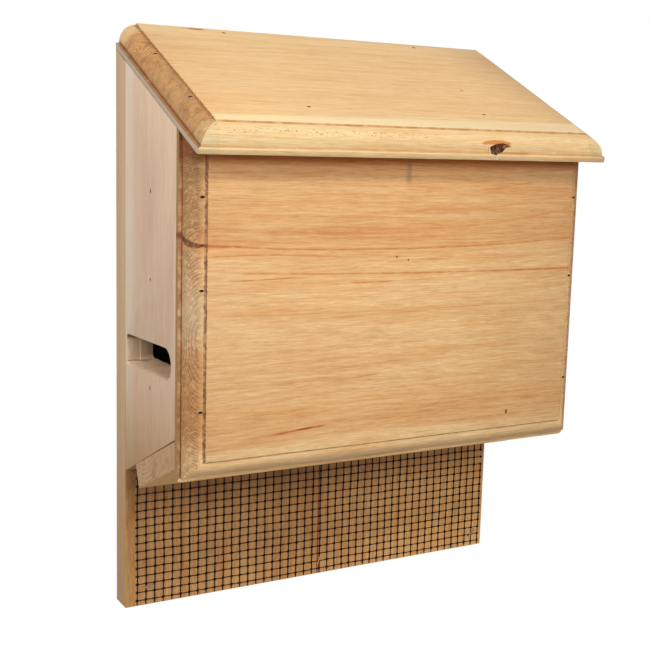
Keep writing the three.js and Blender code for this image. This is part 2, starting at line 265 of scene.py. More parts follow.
fill_strength = 0.17
world = bpy.data.worlds.new("studio_air")
world.use_nodes = True
bpy.context.scene.world = world
tree = world.node_tree
soft_fill = tree.nodes["Background"]
soft_fill.inputs["Color"].default_value = (1.0, 1.0, 1.0, 1.0)
direct = seen_directly(tree)
plug(direct + direct.flip() * fill_strength, soft_fill.inputs["Strength"])
print("floor at", round(cad_low.z - floor_drop, 3), "m")

# %% [markdown]
# Two lamps stand in front of the box. The small high one gives the roof its brightness and a long
# shadow under the roof's lip. The large low one makes a second, shorter shadow there, and it is the one
# that reaches the net below the box. A large soft lamp on the left lights the side without a shadow.
# A last one stands behind on the right, level with the box, so that it lights the back and the right
# side but nothing that the camera sees.

# %% Lamps
def soft_lamp(name, place, aim, size, watts):
    light = bpy.data.lights.new(name, "AREA")
    light.shape = "DISK"
    light.size = size
    light.energy = watts
    lamp = bpy.data.objects.new(name, light)
    turn = (Vector(aim) - Vector(place)).to_track_quat("-Z", "Y")
    lamp.matrix_world = Matrix.Translation(place) @ turn.to_matrix().to_4x4()
    bpy.context.scene.collection.objects.link(lamp)
    return lamp


def around(turn_deg, height_deg, away):
    """A place around the box: turned to its left, at a height above level, this far away."""
    turn, height = math.radians(turn_deg), math.radians(height_deg)
    level = Vector((-math.sin(turn), -math.cos(turn), 0)) * math.cos(height)
    return box_middle + (level + up * math.sin(height)) * away


box_middle = (cad_low + cad_high) / 2
soft_lamp("high_lamp", around(8, 43, 2.0), box_middle, 0.38, 15.5)
soft_lamp("low_lamp", around(8, 20, 1.8), box_middle, 0.7, 11.8)
soft_lamp("side_lamp", around(82, 25, 2.0), box_middle, 1.3, 20.4)
soft_lamp("rear_lamp", around(-142, 0, 2.2), box_middle, 1.0, 18.0)

# %% [markdown]
# Wood is the whole look of this box, so its recipe follows how a tree grows. Rings are circles about
# the heart of the log, and each board cuts through them at its own place. One recipe measures how far
# a point lies from the heart, turns that into rings, and adds short fibres along the grain. It then
# shows long streaks on a face and arcs on the end grain by itself, and the two always meet at an edge.

# %% Places of the boards for their grain
def board_place(origin, along, across, through):
    """Where a board's grain starts, and its three directions: along the grain, across, and through."""
    return {"origin": origin, "along": along, "across": across, "through": through}


class Grain:
    """The nodes that tell where a point lies in its board, in millimetres."""

    def __init__(self, tree, board, seed):
        self.tree = tree
        place = tree.nodes.new("ShaderNodeTexCoord").outputs["Object"]
        inside = tree.nodes.new("ShaderNodeVectorMath")
        inside.operation = "SUBTRACT"
        tree.links.new(place, inside.inputs[0])
        inside.inputs[1].default_value = board["origin"]
        self.along, self.across, self.through = (
            self.dot(inside.outputs[0], board[way] / mm) for way in ("along", "across", "through")
        )
        self.facing_along = self.facing(board["along"])
        self.whole = self.along * 0.0 + 1.0
        self.seed = seed

    def dot(self, vector, way):
        node = self.tree.nodes.new("ShaderNodeVectorMath")
        node.operation = "DOT_PRODUCT"
        self.tree.links.new(vector, node.inputs[0])
        node.inputs[1].default_value = way
        return Number(self.tree, node.outputs["Value"])

    def facing(self, way):
        """1 where the surface faces this way or its opposite, 0 where it runs along it."""
        normal = self.tree.nodes.new("ShaderNodeTexCoord").outputs["Normal"]
        return self.dot(normal, way).math("ABSOLUTE")

    def noise(self, length, width, detail=2.0, shift=0.0):
        """Soft noise whose grains are this long along the board and this wide across it, in mm."""
        vector = self.tree.nodes.new("ShaderNodeCombineXYZ")
        plug(self.along / length + (self.seed + shift), vector.inputs[0])
        plug(self.across / width + self.seed * 3.1, vector.inputs[1])
        plug(self.through / width + shift * 1.7, vector.inputs[2])
        return spot_noise(self.tree, vector.outputs[0], detail)


# %% [markdown]
# The rings come next. Late wood grows slowly at the end of a summer, so each ring darkens gently and
# then stops at once. Rings could be painted as stripes, but stripes never turn into arcs where a board
# ends. A distance from the heart of the log gives both, and it also tells where the pale sapwood of
# the outer log begins.

# %% Rings
wander_length, wander_width = 190.0, 45.0
ripple_length, ripple_width = 60.0, 9.0


def distance_from_heart(grain, look):
    """How far a point lies from the heart, in mm, with the log's own wander and ripple."""
    wander = grain.noise(wander_length, wander_width, 2.0) - 0.5
    ripple = grain.noise(ripple_length, ripple_width, 1.0, 5.0) - 0.5
    along_squared = grain.along * grain.along
    across = (
        grain.across
        - look["heart_across"]
        - grain.along * look.get("lean", 0.0)
        - along_squared * look.get("curve", 0.0)
        + wander * look["wander"]
    )
    through = grain.through - look["heart_through"] + along_squared * look.get("bow", 0.0)
    return (across * across + through * through).math("SQRT") + ripple * look["ripple"]


def late_wood(rings):
    """0 in a ring's early wood and up to 1 in its late wood, which some rings have more of."""
    own = rings.tree.nodes.new("ShaderNodeTexWhiteNoise")
    own.noise_dimensions = "1D"
    plug(rings.math("FLOOR"), own.inputs["W"])
    strength = Number(rings.tree, own.outputs["Value"]) * 0.75 + 0.25
    place = rings.math("FRACT")
    return place.step(0.25, 0.86) * place.step(0.88, 1.0).flip() * strength


print("rings made from the distance to the heart")

# %% [markdown]
# A planed face and a sawn end of one board look different. The face shows its rings as soft streaks,
# with clouds of warmer wood. The end shows them sharply, broken by flecks, with bright pores in the
# early wood and dark ones anywhere. So each has a colour of its own, and both share the sapwood.

# %% Colours of a face and an end
def face_colour(grain, look, late, sap):
    amount = late * look["late_share"]
    colour = mix(amount, look["early"], look["late"])
    if sap is not None:
        colour = mix(sap, colour, mix(amount * 0.8, look["sap_early"], look["sap_late"]))
    cloudy = grain.noise(120.0, 14.0, 3.0, 17.0).step(0.42, 0.68)
    return mix(cloudy * look["cloud_share"], colour, look["cloud"])


def end_colour(grain, look, rings, sap, flecks):
    fine_ring = (rings * look.get("end_finer", 1.0)).math("FRACT")
    late = fine_ring.step(0.2, 0.8) * fine_ring.step(0.86, 1.0).flip()
    mottle = grain.noise(6.0, 6.0, 3.0, 27.0)
    amount = late * (flecks.step(0.30, 0.50) * 0.5 + 0.5)
    amount = amount * (mottle.step(0.33, 0.60) * 0.7 + 0.3) * look["end_ring_share"]
    colour = mix(amount, look["end_early"], look["end_late"])
    if sap is not None:
        colour = mix(sap, colour, mix(amount * 0.8, look["end_sap"], look["end_late"]))
    colour = mix(mottle.step(0.48, 0.74) * look["mottle_share"], colour, look["end_late"])
    pores = grain.noise(1.3, 1.3, 1.0, 29.0)
    bright = pores.step(0.58, 0.68) * late.step(0.15, 0.7).flip()
    dark = pores.step(0.42, 0.32)
    colour = mix(bright * look["pore_share"], colour, look["end_pore"])
    return mix(dark * look["pore_share"] * 0.5, colour, look["end_late"])


def face_shade(grain, look, fibre, dashes):
    """How much lighter or darker a planed face is than its colour, by its fibres and dashes."""
    patches = grain.noise(90.0, 2.4, 2.0, 19.0)
    shade = (fibre.step(0.32, 0.68) - 0.5) * (look["fibre_share"] * 2.0)
    shade = shade - dashes.step(0.57, 0.68) * look["dash_share"]
    shade = shade + dashes.step(0.30, 0.44).flip() * (look["dash_share"] * 0.8)
    return shade + (patches.step(0.30, 0.70) - 0.5) * look["patch_share"]


print("faces and ends have their own colours")

# %% [markdown]
# One function puts a wood together. It blends face and end by how far the surface turns towards the end
# of the board, adds the marks and painted shade that only this board has, and uses the same fibres for
# a slight relief and for a roughness that changes a little from place to place.

# %% The wood recipe
relief_strength, relief_height = 0.5, 0.12
# Red, green and blue: a dark fibre takes away least red and most blue, so that it looks warm.
shade_warmth = (0.6, 1.0, 1.4)


def wood(name, board, look, marks=None):
    """A procedural wood. look holds its sizes in mm and its colours; marks adds the board's marks and
    painted shade.
    """
    material, tree, shader = new_material(name)
    grain = Grain(tree, board, look["seed"])
    radius = distance_from_heart(grain, look)
    rings = radius / look["ring_width"]
    late = late_wood(rings)
    sap = (radius - look["sap_radius"]).step(-0.8, 0.8) if "sap_radius" in look else None
    fibre = grain.noise(look["fibre_length"], look["fibre_width"], 3.0)
    dashes = grain.noise(look["fibre_length"] * 0.4, look["fibre_width"] * 1.1, 1.0, 9.0)
    flecks = grain.noise(1.5, 0.8, 2.0, 23.0)

    end = grain.facing_along.step(0.02, 0.5)
    if "routed_end" in look:
        end = end.math("MAXIMUM", look["routed_end"](grain))
    paint = Paint(face_colour(grain, look, late, sap))
    paint.cover(end, end_colour(grain, look, rings, sap, flecks))
    end_shade = (flecks.step(0.38, 0.62) - 0.5) * (look["fleck_share"] * 2.0)
    shade = face_shade(grain, look, fibre, dashes) * end.flip() + end_shade * end
    tone = tree.nodes.new("ShaderNodeCombineColor")
    for channel, warmth in zip(tone.inputs, shade_warmth):
        plug(shade * warmth + 1.0, channel)
    paint.stain(grain.whole, tone.outputs[0])
    if marks:
        marks(grain, paint)

    relief = tree.nodes.new("ShaderNodeBump")
    relief.inputs["Strength"].default_value = relief_strength
    relief.inputs["Distance"].default_value = relief_height * mm
    plug(fibre + late * 0.4 + dashes * 0.5 + flecks * end, relief.inputs["Height"])
    plug(paint.colour, shader.inputs["Base Color"])
    plug((fibre - 0.5) * 0.25 + look.get("roughness", 0.62), shader.inputs["Roughness"])
    plug(relief.outputs[0], shader.inputs["Normal"])
    shader.inputs["Specular IOR Level"].default_value = 0.28
    print("wood:", name, len(tree.nodes), "nodes")
    return material


# %% [markdown]
# Thin red or orange lines cross the real boards where one ring grew dense. A few are strong enough
# that anyone would notice them missing. Each is a gently bent line, so three numbers describe it: a
# curve fitted through a few of its points. It widens and fades along its length as real ones do.

# %% Marks that a board carries
def streak(grain, points, half_width, wobble):
    """1 along a gently bent line through the points, which are (along, across) in millimetres."""
    places = numpy.array(points)
    degree = min(2, len(points) - 1)
    terms = numpy.polyfit(places[:, 0], places[:, 1], degree)
    line = grain.along * 0.0 + float(terms[0])
    for term in terms[1:]:
        line = line.math("MULTIPLY_ADD", grain.along, float(term))
    away = (grain.across - line + wobble).math("ABSOLUTE") / half_width
    start, end = places[0, 0], places[-1, 0]
    in_reach = (grain.along - float(start)).step(-7.0, 5.0)
    in_reach = in_reach * (grain.along - float(end)).step(-5.0, 7.0).flip()
    return away.step(0.1, 1.0).flip() * in_reach


def spot(grain, along, other, reach_along, reach_other, at):
    """1 in the middle of an oval mark at this place along the board and on another measure of it."""
    a = (grain.along - along) / reach_along
    b = (other - at) / reach_other
    return (a * a + b * b).step(0.35, 1.0).flip()


def lay_spots(grain, paint, spots):
    """Lay on oval marks, each given by its place, its two reaches, its share and its colour."""
    for along, across, reach_along, reach_across, share, tint in spots:
        mark = spot(grain, along, grain.across, reach_along, reach_across, across)
        paint.cover(mark * share, tint)


# %% [markdown]
# A router bit rubs and scorches wood where its cut ends, above all on end grain. So each routed edge
# has a thin brown line at the foot of its round, and a darker one at the small step up to the flat
# field. Both lines carry scorching and painted shade for the inside corners of the profile. Both lie
# at a fixed height in the profile, and that is where the recipe puts them.

# %% Routed profile and its lines of scorching and painted shade
lip_thickness = 3.5
lip_ledge_width = 2.3
front_foot_ledge_width = 3.1
round_radius = 11.8
field_step_height = 1.1
front_corner_radius, roof_corner_radius = 3.5, 0.8
panel_thickness = lip_thickness + round_radius + field_step_height
routed_width = lip_ledge_width + round_radius


def from_side(grain):
    """Distance in from the nearer end of the board."""
    return -grain.along.math("ABSOLUTE") + half_width


def routed_end(grain, from_low):
    """1 on the routed strip along the board's two ends, as far as the mitre at its low corners."""
    inward = from_side(grain)
    strip = (inward - routed_width).step(0.0, 0.3).flip()
    return strip * (from_low - inward).step(-0.3, 0.3)


def scorch_and_corner_shade(grain, paint, from_low, look):
    """Brown lines of scorching and painted shade at the foot of the round and at the step, wider and more
    ragged on the ends.
    """
    inward = from_side(grain).math("MINIMUM", from_low)
    at_end = (from_low - from_side(grain)).step(-0.3, 0.3)
    patchy = grain.noise(7.0, 5.0, 2.0, 31.0).step(0.25, 0.65) * 0.6 + 0.4
    ragged = grain.noise(1.6, 1.6, 2.0, 37.0) - 0.5

    lip = grain.through.step(lip_thickness - 0.3, lip_thickness).flip() * at_end
    paint.cover(lip * look["lip_share"], look["lip_colour"])
    out_of_lip = grain.through.step(lip_thickness - 0.4, lip_thickness - 0.1)
    ledge = out_of_lip * at_end * grain.through.step(lip_thickness + 0.5, lip_thickness + 1.3).flip()
    paint.cover(ledge * look["ledge_share"] * patchy, look["ledge_colour"])
    # The foot line is scorching and painted shade in the inside corner at the round's foot.
    foot = (inward - lip_ledge_width).bump(0.1, 0.7) * out_of_lip
    foot = foot * grain.through.step(lip_thickness + 0.9, lip_thickness + 2.4).flip()
    foot = foot * (at_end * (1.0 / look["foot_share"] - 1.0) + 1.0)
    foot_colour = mix(at_end, look["foot_colour"], look["end_foot_colour"])
    paint.cover(foot * look["foot_share"] * patchy, foot_colour)

    # The step line is scorching and painted shade in the inside corner at the step to the field.
    width = at_end * (look["end_step_width"] - look["step_width"]) + look["step_width"]
    unsteady = ragged * (at_end * look["ragged"] + 0.5)
    past_step = inward - (routed_width + 0.15) + unsteady
    line = (past_step / width).step(-1.1, -0.7) * (past_step / width).step(0.0, 0.35).flip()
    line = line * grain.through.step(panel_thickness - 2.8, panel_thickness - 2.2)
    broken = grain.noise(2.2, 2.2, 1.0, 35.0).step(0.34, 0.50) * 0.45 + 0.55
    turned_away = grain.along.step(half_width - 20.0, half_width - 16.0) * at_end
    line = line * patchy * (turned_away * -0.6 + 1.0) * (at_end * (broken - 1.0) + 1.0)
    paint.cover(line * look["step_share"], mix(at_end, look["step_colour"], look["end_step_colour"]))


print("routed edge:", panel_thickness, "mm thick at the field")

# %% [markdown]
# The front panel was sawn well away from the heart of its log, which lay about 70 mm in front of it
# and at mid height. So its lines run nearly straight, close together near the top and the foot, and
# wide in the middle. The lowest part is pale sapwood, with a thin red line at its border on the left.

# %% Front panel's wood
front_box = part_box("front_panel")
front_grain = board_place(Vector((0, front_box[1].y, cad_low.z)), right, up, -back)
front_foot = (front_box[0].z - cad_low.z) / mm
half_width = (front_box[1].x - front_box[0].x) / 2 / mm
foot_extra = front_foot_ledge_width - lip_ledge_width


def from_front_foot(grain):
    return grain.across - (front_foot + foot_extra)


front_look = {
    "seed": 3.0, "heart_across": 216.0, "heart_through": 84.5, "bow": 0.00022, "wander": 7.0,
    "ripple": 1.8, "ring_width": 2.4, "sap_radius": 97.0, "late_share": 0.26, "end_finer": 1.7,
    "fibre_length": 17.0, "fibre_width": 0.75, "fibre_share": 0.13, "dash_share": 0.12,
    "patch_share": 0.04, "fleck_share": 0.12, "end_ring_share": 0.65, "mottle_share": 0.25,
    "pore_share": 0.65, "end_pore": (232, 200, 156),
    "early": (240, 196, 138), "late": (212, 146, 88), "cloud": (218, 160, 104),
    "cloud_share": 0.4, "sap_early": (244, 206, 150), "sap_late": (226, 177, 118),
    "end_early": (194, 152, 110), "end_late": (132, 96, 66), "end_sap": (190, 154, 109),
    "lip_share": 0.9, "lip_colour": (154, 118, 74), "ledge_share": 0.85,
    "ledge_colour": (134, 90, 50), "foot_share": 0.5, "foot_colour": (150, 104, 60),
    "end_foot_colour": (120, 74, 38),
    "step_share": 0.95, "step_width": 0.7, "step_colour": (132, 92, 58),
    "end_step_width": 1.6, "end_step_colour": (116, 78, 54), "ragged": 1.3,
}
# Each streak: places on it as (along, across) in mm, half its width, its strength and its colour.
front_streaks = [
    ([(-158, 276.8), (-145, 276.2), (-87, 274.6), (-4, 272.8), (37, 271.3), (108, 273.4), (144, 278.7)],
     0.8, 0.55, (196, 120, 62)),
    ([(-158, 276.9), (-120, 275.6)], 1.1, 0.5, (172, 92, 46)),
    ([(-150, 276.7), (-132, 276.0)], 2.1, 0.4, (186, 108, 58)),
    ([(-143, 269.6), (-80, 269.2), (-47, 267.4)], 0.8, 0.6, (208, 128, 62)),
    ([(-126, 253.8), (-83, 254.7)], 0.8, 0.65, (208, 128, 62)),
    ([(-119, 258.7), (-15, 255.0), (38, 254.7), (77, 254.7), (146, 254.3)], 0.9, 0.5, (204, 124, 62)),
    ([(60, 254.6), (146, 254.3)], 1.1, 0.45, (190, 112, 66)),
    ([(-38, 249.7), (-12, 249.7)], 0.9, 0.7, (208, 126, 56)),
    ([(37, 275.8), (76, 274.8), (116, 280.2), (144, 284.3)], 0.7, 0.4, (200, 130, 76)),
    ([(62, 311.8), (106, 317.8)], 0.9, 0.45, (204, 136, 78)),
    ([(-10, 300.5), (70, 300.0), (140, 309.0)], 0.8, 0.35, (208, 144, 88)),
    ([(-60, 288.0), (40, 287.0), (100, 291.0), (144, 300.0)], 1.2, 0.45, (206, 138, 80)),
    ([(-140, 296.0), (-60, 294.5), (0, 293.0)], 1.0, 0.35, (208, 144, 88)),
    ([(-140, 232.0), (-40, 229.5), (60, 230.5), (140, 231.0)], 0.9, 0.3, (210, 148, 94)),
    ([(-138, 208.0), (-50, 206.0), (20, 207.0)], 0.9, 0.25, (210, 148, 94)),
    ([(-94, 151.0), (-79, 152.3), (-62, 153.4)], 1.1, 0.85, (170, 80, 42)),
    ([(-118, 149.4), (-80, 151.2)], 2.2, 0.35, (206, 124, 74)),
    ([(-59, 183.2), (-20, 186.0)], 0.7, 0.4, (204, 140, 84)),
    ([(43, 164.0), (139, 164.0)], 0.7, 0.35, (204, 140, 84)),
    ([(-12, 164.1), (9, 162.6)], 0.7, 0.4, (200, 134, 80)),
]
# Each spot: its place along and across, its reach along and across, its share and its colour.
front_specks = [
    (-6.1, 266.4, 0.9, 0.9, 0.85, (96, 66, 44)),
    (3.3, 264.1, 0.9, 0.9, 0.85, (96, 66, 44)),
    (93.5, 149.0, 1.3, 2.2, 0.85, (96, 66, 44)),
]
bark_foot, bark_rise, bark_width = 276.6, 5.6, 1.2


def front_marks(grain, paint):
    # Painted shade: the front turns darker towards its top.
    drift = (grain.noise(90.0, 30.0, 1.0, 13.0) - 0.5) * 12.0
    painted_top_shade = (grain.across + drift).step(258.0, 284.0)
    paint.stain(painted_top_shade, (239, 222, 208))
    paint.stain(grain.across.bump(160.0, 30.0) * 0.8, (250, 236, 224))
    rosy = grain.noise(80.0, 3.2, 3.0, 59.0).step(0.46, 0.70)
    paint.stain(rosy * 0.6, (248, 226, 204))
    pale = grain.noise(70.0, 2.6, 2.0, 61.0).step(0.50, 0.72)
    paint.cover(pale * 0.3, (246, 210, 156))
    grime = grain.noise(34.0, 14.0, 3.0, 57.0).step(0.54, 0.72)
    paint.stain(grime * 0.4, (238, 230, 220))
    low_lip = grain.through.step(lip_thickness - 0.2, lip_thickness).flip()
    low_lip = low_lip * from_front_foot(grain).step(1.0, 0.0)
    paint.cover(low_lip * 0.8, (200, 144, 86))
    # Painted shadow of the roof's lip across the top of the front.
    painted_lip_shadow = (grain.across + (grain.noise(50.0, 50.0, 1.0, 15.0) - 0.5) * 4.0).step(325.0, 334.0)
    paint.stain(painted_lip_shadow, (222, 178, 137))

    wobble = (grain.noise(40.0, 30.0, 2.0, 41.0) - 0.5) * 1.0
    patchy = grain.noise(9.0, 6.0, 2.0, 43.0).step(0.34, 0.62) * 0.6 + 0.4
    for points, width, strength, tint in front_streaks:
        line = streak(grain, points, width, wobble)
        glow = streak(grain, points, width * 4.0, wobble)
        paint.cover(glow * strength * 0.35, (228, 158, 92))
        paint.cover((line * patchy * (strength * 1.5)).math("MINIMUM", 1.0), tint)
    lay_spots(grain, paint, front_specks)
    smear = grain.noise(4.0, 9.0, 2.0, 51.0).step(0.36, 0.56)
    smear = smear * grain.along.bump(1.5, 3.6) * grain.across.step(314.0, 319.0)
    paint.cover(smear * 0.6, (150, 122, 92))

    routed_left = -half_width + routed_width
    left_end = grain.along.step(routed_left - 0.3, routed_left + 0.3).flip()
    top_end = grain.across.step(262.0, 300.0) * left_end
    paint.stain(top_end, (241, 240, 236))
    low_end = grain.across.step(230.0, 200.0) * grain.across.step(140.0, 165.0) * left_end
    paint.stain(low_end, (232, 219, 200))
    paint.cover(grain.across.bump(232.0, 30.0) * left_end * 0.3, (198, 182, 150))
    rise = (-grain.through + (lip_thickness + round_radius)) / round_radius
    jagged = (grain.noise(2.2, 2.2, 2.0, 55.0) - 0.5) * 1.7
    away = (grain.across - rise * rise * bark_rise - bark_foot + wobble + jagged).math("ABSOLUTE")
    towards_side = (from_side(grain) - lip_ledge_width).step(round_radius, 0.0)
    bark = (away / (towards_side * 1.9 + bark_width)).step(0.4, 1.0).flip() * left_end
    bark = bark * (grain.noise(1.6, 1.6, 1.0, 56.0).step(0.36, 0.56) * 0.35 + 0.65)
    paint.cover(bark * (patchy * 0.3 + 0.7), (74, 38, 22))
    splash = (rise - 0.9).step(0.0, 0.1) * grain.across.bump(bark_foot + 5.6, 3.4) * left_end
    scorch_and_corner_shade(grain, paint, from_front_foot(grain), front_look)
    paint.cover(splash * 0.85, (116, 52, 22))


front_wood = wood("front_wood", front_grain, front_look, front_marks)

# %% [markdown]
# The roof board comes from nearer the heart. Its front half shows narrow straight lines, its back
# half wider ones, and the pale band along the front edge is sapwood.

# %% Roof board's wood
roof_pitch = math.radians(24.3)
down_slope = Vector((0, -math.cos(roof_pitch), -math.sin(roof_pitch)))
out_of_roof = Vector((0, -math.sin(roof_pitch), math.cos(roof_pitch)))
roof_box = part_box("roof_board")
roof_tip = Vector((0, roof_box[0].y + lip_thickness * mm * math.sin(roof_pitch), roof_box[0].z))
roof_at_wall = roof_tip - down_slope * (-roof_tip.y / math.cos(roof_pitch))
roof_reach = (roof_tip - roof_at_wall).length / mm
roof_grain = board_place(roof_at_wall, right, down_slope, out_of_roof)


def from_roof_tip(grain):
    return -grain.across + roof_reach


roof_look = {
    "seed": 11.0, "heart_across": 16.0, "heart_through": 2.0, "lean": -0.0264, "curve": 0.00033,
    "wander": 7.0, "ripple": 1.6, "ring_width": 2.3, "sap_radius": 119.0, "late_share": 0.24,
    "fibre_length": 18.0, "fibre_width": 0.8, "fibre_share": 0.1, "dash_share": 0.09,
    "patch_share": 0.05, "fleck_share": 0.1, "end_ring_share": 0.7, "mottle_share": 0.5,
    "pore_share": 0.3, "end_pore": (232, 186, 130),
    "early": (236, 196, 141), "late": (216, 160, 102), "cloud": (228, 182, 126),
    "cloud_share": 0.45, "sap_early": (236, 204, 151), "sap_late": (228, 184, 126),
    "end_early": (197, 146, 92), "end_late": (134, 88, 50), "end_sap": (204, 162, 108),
    "lip_share": 0.9, "lip_colour": (190, 178, 158), "ledge_share": 0.9,
    "ledge_colour": (150, 104, 62), "foot_share": 0.4, "foot_colour": (190, 136, 80),
    "end_foot_colour": (126, 82, 46),
    "step_share": 0.9, "step_width": 0.9, "step_colour": (194, 140, 84),
    "end_step_width": 1.7, "end_step_colour": (158, 102, 56), "ragged": 3.0,
    "routed_end": lambda grain: routed_end(grain, from_roof_tip(grain)),
}
knot_place = 61.5
tear_band, tear_reach = (7.5, 15.0), (-156.0, 30.0)
roof_spots = [
    (76.5, 81.6, 1.8, 1.0, 0.8, (140, 92, 52)),
    (-103.0, -5.0, 12.0, 2.2, 0.4, (196, 128, 70)),
    (-101.0, -4.6, 7.0, 1.4, 0.9, (150, 78, 40)),
]


def roof_marks(grain, paint):
    back_band = (grain.across + (grain.noise(60.0, 9.0, 1.0, 3.0) - 0.5) * 9.0).step(3.0, 13.0).flip()
    paint.cover(back_band * 0.5, (240, 206, 154))
    rosy = grain.noise(80.0, 4.5, 3.0, 59.0).step(0.50, 0.68)
    paint.stain(rosy * 0.5, (250, 234, 214))
    wobble = (grain.noise(20.0, 30.0, 2.0, 41.0) - 0.5) * 1.5
    paint.cover(streak(grain, [(17, 78), (33, 78)], 0.9, wobble) * 0.6, (176, 122, 72))
    lay_spots(grain, paint, roof_spots)

    from_low = from_roof_tip(grain)
    band_edge = grain.along * 0.025 + (grain.noise(50.0, 20.0, 2.0, 65.0) - 0.5) * 3.0 + 26.0
    pale_band = (from_low - band_edge).step(-1.2, 1.2).flip() * from_low.step(13.0, 14.0)
    pale_band = pale_band * routed_end(grain, from_low).flip()
    paint.cover(pale_band * 0.62, (244, 220, 172))
    front_half = grain.across.step(20.0, 90.0) * from_side(grain).step(15.0, 14.0)
    paint.stain(front_half, (244, 250, 255))
    height = grain.through - lip_thickness
    up_round = height.math("ARCTAN2", -from_low + routed_width) * round_radius
    on_round = (from_low - lip_ledge_width).step(-0.3, 0.0)
    on_round = on_round * (from_low - lip_ledge_width).step(round_radius, round_radius + 0.3).flip()

    tear = grain.noise(2.6, 1.3, 1.0, 63.0)
    in_band = up_round.step(tear_band[0], tear_band[0] + 3.0)
    in_band = in_band * up_round.step(tear_band[1] - 2.5, tear_band[1]).flip() * on_round
    in_band = in_band * grain.along.step(tear_reach[0], tear_reach[0] + 8.0)
    in_band = in_band * (grain.along.step(tear_reach[1] - 40.0, tear_reach[1]) * -0.7 + 1.0)
    paint.cover(tear.step(0.50, 0.55) * in_band * 0.6, (248, 220, 170))
    paint.cover(tear.step(0.585, 0.63) * in_band * 0.7, (190, 138, 80))

    at_step = from_side(grain).bump(routed_width - 0.4, 2.6)
    torn_end = grain.noise(1.3, 1.3, 1.0, 67.0)
    where_torn = grain.noise(14.0, 14.0, 1.0, 69.0).step(0.42, 0.60)
    at_step = at_step * where_torn * grain.facing(out_of_roof).step(0.2, 0.6)
    paint.cover(torn_end.step(0.56, 0.62) * at_step, (246, 216, 166))
    paint.cover(torn_end.step(0.44, 0.38) * at_step * 0.8, (140, 88, 48))

    soft = (grain.noise(5.0, 3.0, 2.0, 71.0) - 0.5) * 1.2
    cap_x = (grain.along - knot_place + 0.4) / 13.2
    cap_y = (up_round - 8.4 + soft + cap_x * cap_x * 1.3) / 1.8
    cap = (cap_x * cap_x + cap_y * cap_y).step(0.72, 1.0).flip() * on_round
    paint.cover(cap * 0.95, (208, 134, 68))
    rim = cap_y.bump(-0.95, 0.5) * cap_x.step(0.85, 1.0).flip() * cap_x.step(-0.1, 0.2) * on_round
    paint.cover(rim * 0.6, (130, 74, 36))
    # Painted shadow under the right part of the knot's cap.
    painted_cap_shadow = spot(grain, knot_place + 6.2, up_round, 5.4, 1.7, 5.9)
    paint.cover(painted_cap_shadow * 0.85, (92, 54, 32))
    splinters = grain.noise(0.9, 4.0, 1.0, 73.0)
    torn = spot(grain, knot_place - 7.2, up_round, 3.4, 2.0, 3.0)
    torn = torn.math("MAXIMUM", spot(grain, knot_place - 1.0, grain.across, 6.0, 2.4, roof_reach - 1.4))
    paint.cover(torn * splinters.step(0.46, 0.54) * 0.5, (250, 228, 186))
    paint.cover(torn * splinters.step(0.46, 0.38) * 0.5, (186, 126, 72))
    scar = grain.noise(1.2, 1.2, 1.0, 75.0)
    scarred = spot(grain, 112.0, up_round, 2.2, 1.7, 1.7)
    paint.cover(scarred * scar.step(0.45, 0.55) * 0.7, (250, 228, 190))
    crack = streak(grain, [(62, roof_reach - 2.3), (90, roof_reach - 2.4)], 0.25, wobble * 0.1)
    paint.cover(crack * 0.6, (196, 132, 76))
    scorch_and_corner_shade(grain, paint, from_low, roof_look)


roof_wood = wood("roof_wood", roof_grain, roof_look, roof_marks)

# %% [markdown]
# The sides and the floor are another lot of wood: greyer and a little pink, with a faint grain that
# stands upright in the sides. The back boards are darker and browner. The partition is rough wood that
# nobody sees, made darker as painted shade for the inside of the box.

# %% Wood of the sides, floor, back and partition
side_look = {
    "seed": 23.0, "heart_across": 30.0, "heart_through": -70.0, "wander": 7.0, "ripple": 1.2,
    "ring_width": 3.1, "late_share": 0.22, "fibre_length": 20.0, "fibre_width": 1.0,
    "fibre_share": 0.055, "dash_share": 0.045, "patch_share": 0.03, "fleck_share": 0.06,
    "end_ring_share": 0.6, "mottle_share": 0.3, "pore_share": 0.2, "end_pore": (232, 206, 176),
    "early": (221, 192, 165), "late": (205, 166, 136), "cloud": (215, 175, 146),
    "cloud_share": 0.35, "end_early": (220, 188, 156), "end_late": (196, 158, 124),
    "roughness": 0.7,
}


side_tail = (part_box("left_side")[0].z - cad_low.z) / mm
slot_height = 22.0
slot_back_margin, slot_front_margin = 2.85, 7.4
slot_above_tail, slot_drop = 91.7, 0.8
slot_tilt_deg = 2.0
slot_middle_across = 54.0


